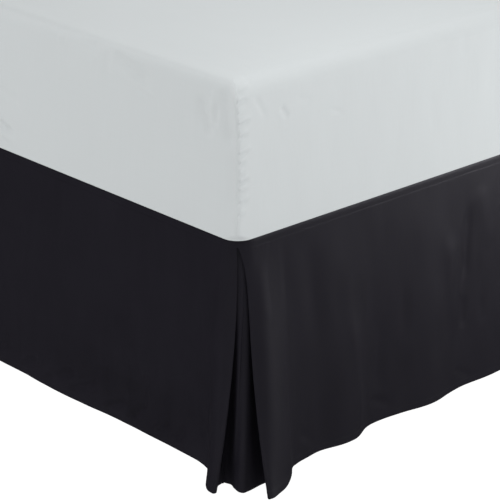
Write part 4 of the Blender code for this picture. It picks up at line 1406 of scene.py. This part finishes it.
class BEDSKIRT_OT_bed_frame(bpy.types.Operator):
    """Build the steel bed frame: rails, cross rails, legs and glides"""

    bl_idname = "bed_skirt.bed_frame"
    bl_label = "Bed frame"

    def execute(self, context):
        """Plugged square tubes, and turned legs on wider glides, where the solids have them."""
        settings = context.scene.frame_settings
        steel = finish_once(coated_steel, settings)
        plastic = finish_once(moulded_plastic, settings)
        rails = ("rail_left", "rail_right", "cross_rail_foot", "cross_rail_middle", "cross_rail_head")
        forms = [rail(*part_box(node), 1 if node.startswith("rail") else 0, settings.edge) for node in rails]
        tubes = add_piece("frame_rails", *joined(forms), steel, smooth_angle=SMOOTH_STEEL)
        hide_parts(*rails)
        legs = [f"leg_{place}_{side}" for place in ("foot", "middle", "head") for side in ("left", "right")]
        posts, glides = [], []
        for node in legs:
            low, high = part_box(node)
            centre = ((low[0] + high[0]) / 2, (low[1] + high[1]) / 2)
            upper = tuple(Ring(ring.radius, high[2] + ring.height) for ring in LEG_TOP)
            posts.append(turned_form(LEG_FOOT + upper, centre, settings.sides))
            glides.append(turned_form(GLIDE, centre, settings.sides))
        posts = add_piece("frame_legs", *joined(posts), steel, smooth_angle=SMOOTH_STEEL)
        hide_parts(*legs)
        glides = add_piece("frame_glides", *joined(glides), plastic, smooth_angle=SMOOTH_STEEL)
        return {"FINISHED"}


class BEDSKIRT_OT_stage(bpy.types.Operator):
    """Lay the pale floor and set the lights and the camera"""

    bl_idname = "bed_skirt.stage"
    bl_label = "Stage"

    def execute(self, context):
        """A pale floor, six soft lamps, an even surround and the camera."""
        settings = context.scene.stage_settings
        lay_floor(settings)
        light_stage(settings)
        set_camera()
        return {"FINISHED"}


def lay_floor(settings):
    """A wide flat floor."""
    corners = [(x * FLOOR_REACH, y * FLOOR_REACH, 0.0) for x, y in ((-1, -1), (1, -1), (1, 1), (-1, 1))]
    mesh = bpy.data.meshes.new("floor")
    mesh.from_pydata(corners, [], [(0, 1, 2, 3)])
    mesh.materials.append(floor_paint(settings))
    floor = bpy.data.objects.new("floor", mesh)
    bpy.context.collection.objects.link(floor)
    floor.visible_glossy = False


def light_stage(settings):
    """A faint even surround, three large soft lights and three small ones, placed from the foot corner."""
    scene = bpy.context.scene
    world = bpy.data.worlds.new("surround")
    world.use_nodes = True
    board = Board(world.node_tree)
    background = board.node("ShaderNodeBackground", inputs={"Color": (1.0, 1.0, 1.0, 1.0),
                                                            "Strength": settings.surround})
    board.node("ShaderNodeOutputWorld", inputs={"Surface": background.outputs[0]})
    scene.world = world
    world.cycles_visibility.glossy = False
    foot_corner = Vector((LEFT, FOOT, 0.0))
    for name, (size, place, target) in LAMPS.items():
        lamp = bpy.data.lights.new(name, "AREA")
        lamp.shape = "DISK"
        lamp.size = size
        lamp.energy = getattr(settings, name)
        light = bpy.data.objects.new(name, lamp)
        light.location = foot_corner + Vector(place)
        towards = Vector(place) - Vector(target)
        light.rotation_euler = towards.to_track_quat("Z", "Y").to_euler()
        light.visible_camera = False
        light.visible_glossy = size < 1
        bpy.context.collection.objects.link(light)
    scene.view_settings.view_transform = "Standard"


def set_camera():
    """A long lens at the foot corner, looking slightly down."""
    turn = math.radians(CAMERA_TURN)
    pitch = math.radians(CAMERA_PITCH)
    forward = Vector((math.cos(turn) * math.cos(pitch), math.sin(turn) * math.cos(pitch), -math.sin(pitch)))
    right = Vector((math.sin(turn), -math.cos(turn), 0.0))
    up = right.cross(forward)
    lens = bpy.data.cameras.new("camera")
    lens.sensor_width = 36.0
    lens.lens = LENS
    camera = bpy.data.objects.new("camera", lens)
    place = Vector((LEFT, FOOT, 0.0)) + Vector(CAMERA_PLACE)
    camera.matrix_world = Matrix.Translation(place) @ Matrix((right, up, -forward)).transposed().to_4x4()
    bpy.context.collection.objects.link(camera)
    bpy.context.scene.camera = camera


class BEDSKIRT_PT_panel(bpy.types.Panel):
    """The bed skirt's sizes, colours and making steps"""

    bl_idname = "BEDSKIRT_PT_panel"
    bl_label = "Bed skirt"
    bl_space_type = "VIEW_3D"
    bl_region_type = "UI"
    bl_category = "Bed skirt"

    def draw(self, context):
        """Every setting, then every step."""
        for group in SETTINGS:
            settings = getattr(context.scene, group)
            box = self.layout.box()
            for name in settings.__annotations__:
                box.prop(settings, name)
        for step in STEPS:
            self.layout.operator(step.bl_idname)


SETTINGS = {"skirt_settings": SkirtSettings, "bedding_settings": BeddingSettings,
            "frame_settings": FrameSettings, "stage_settings": StageSettings}
STEPS = (BEDSKIRT_OT_deck, BEDSKIRT_OT_drops, BEDSKIRT_OT_inserts, BEDSKIRT_OT_mattress,
         BEDSKIRT_OT_box_spring, BEDSKIRT_OT_bed_frame, BEDSKIRT_OT_stage)
CLASSES = tuple(SETTINGS.values()) + STEPS + (BEDSKIRT_PT_panel,)


def register():
    """Register the settings, the operators and the panel."""
    for item in CLASSES:
        bpy.utils.register_class(item)
    for name, group in SETTINGS.items():
        setattr(bpy.types.Scene, name, PointerProperty(type=group))


def unregister():
    """Take the settings, the operators and the panel away again."""
    for name in SETTINGS:
        delattr(bpy.types.Scene, name)
    for item in reversed(CLASSES):
        bpy.utils.unregister_class(item)


def main():
    """Build everything in order."""
    register()
    bpy.ops.bed_skirt.deck()
    bpy.ops.bed_skirt.drops()
    bpy.ops.bed_skirt.inserts()
    bpy.ops.bed_skirt.mattress()
    bpy.ops.bed_skirt.box_spring()
    bpy.ops.bed_skirt.bed_frame()
    bpy.ops.bed_skirt.stage()


if __name__ == "__main__":
    main()
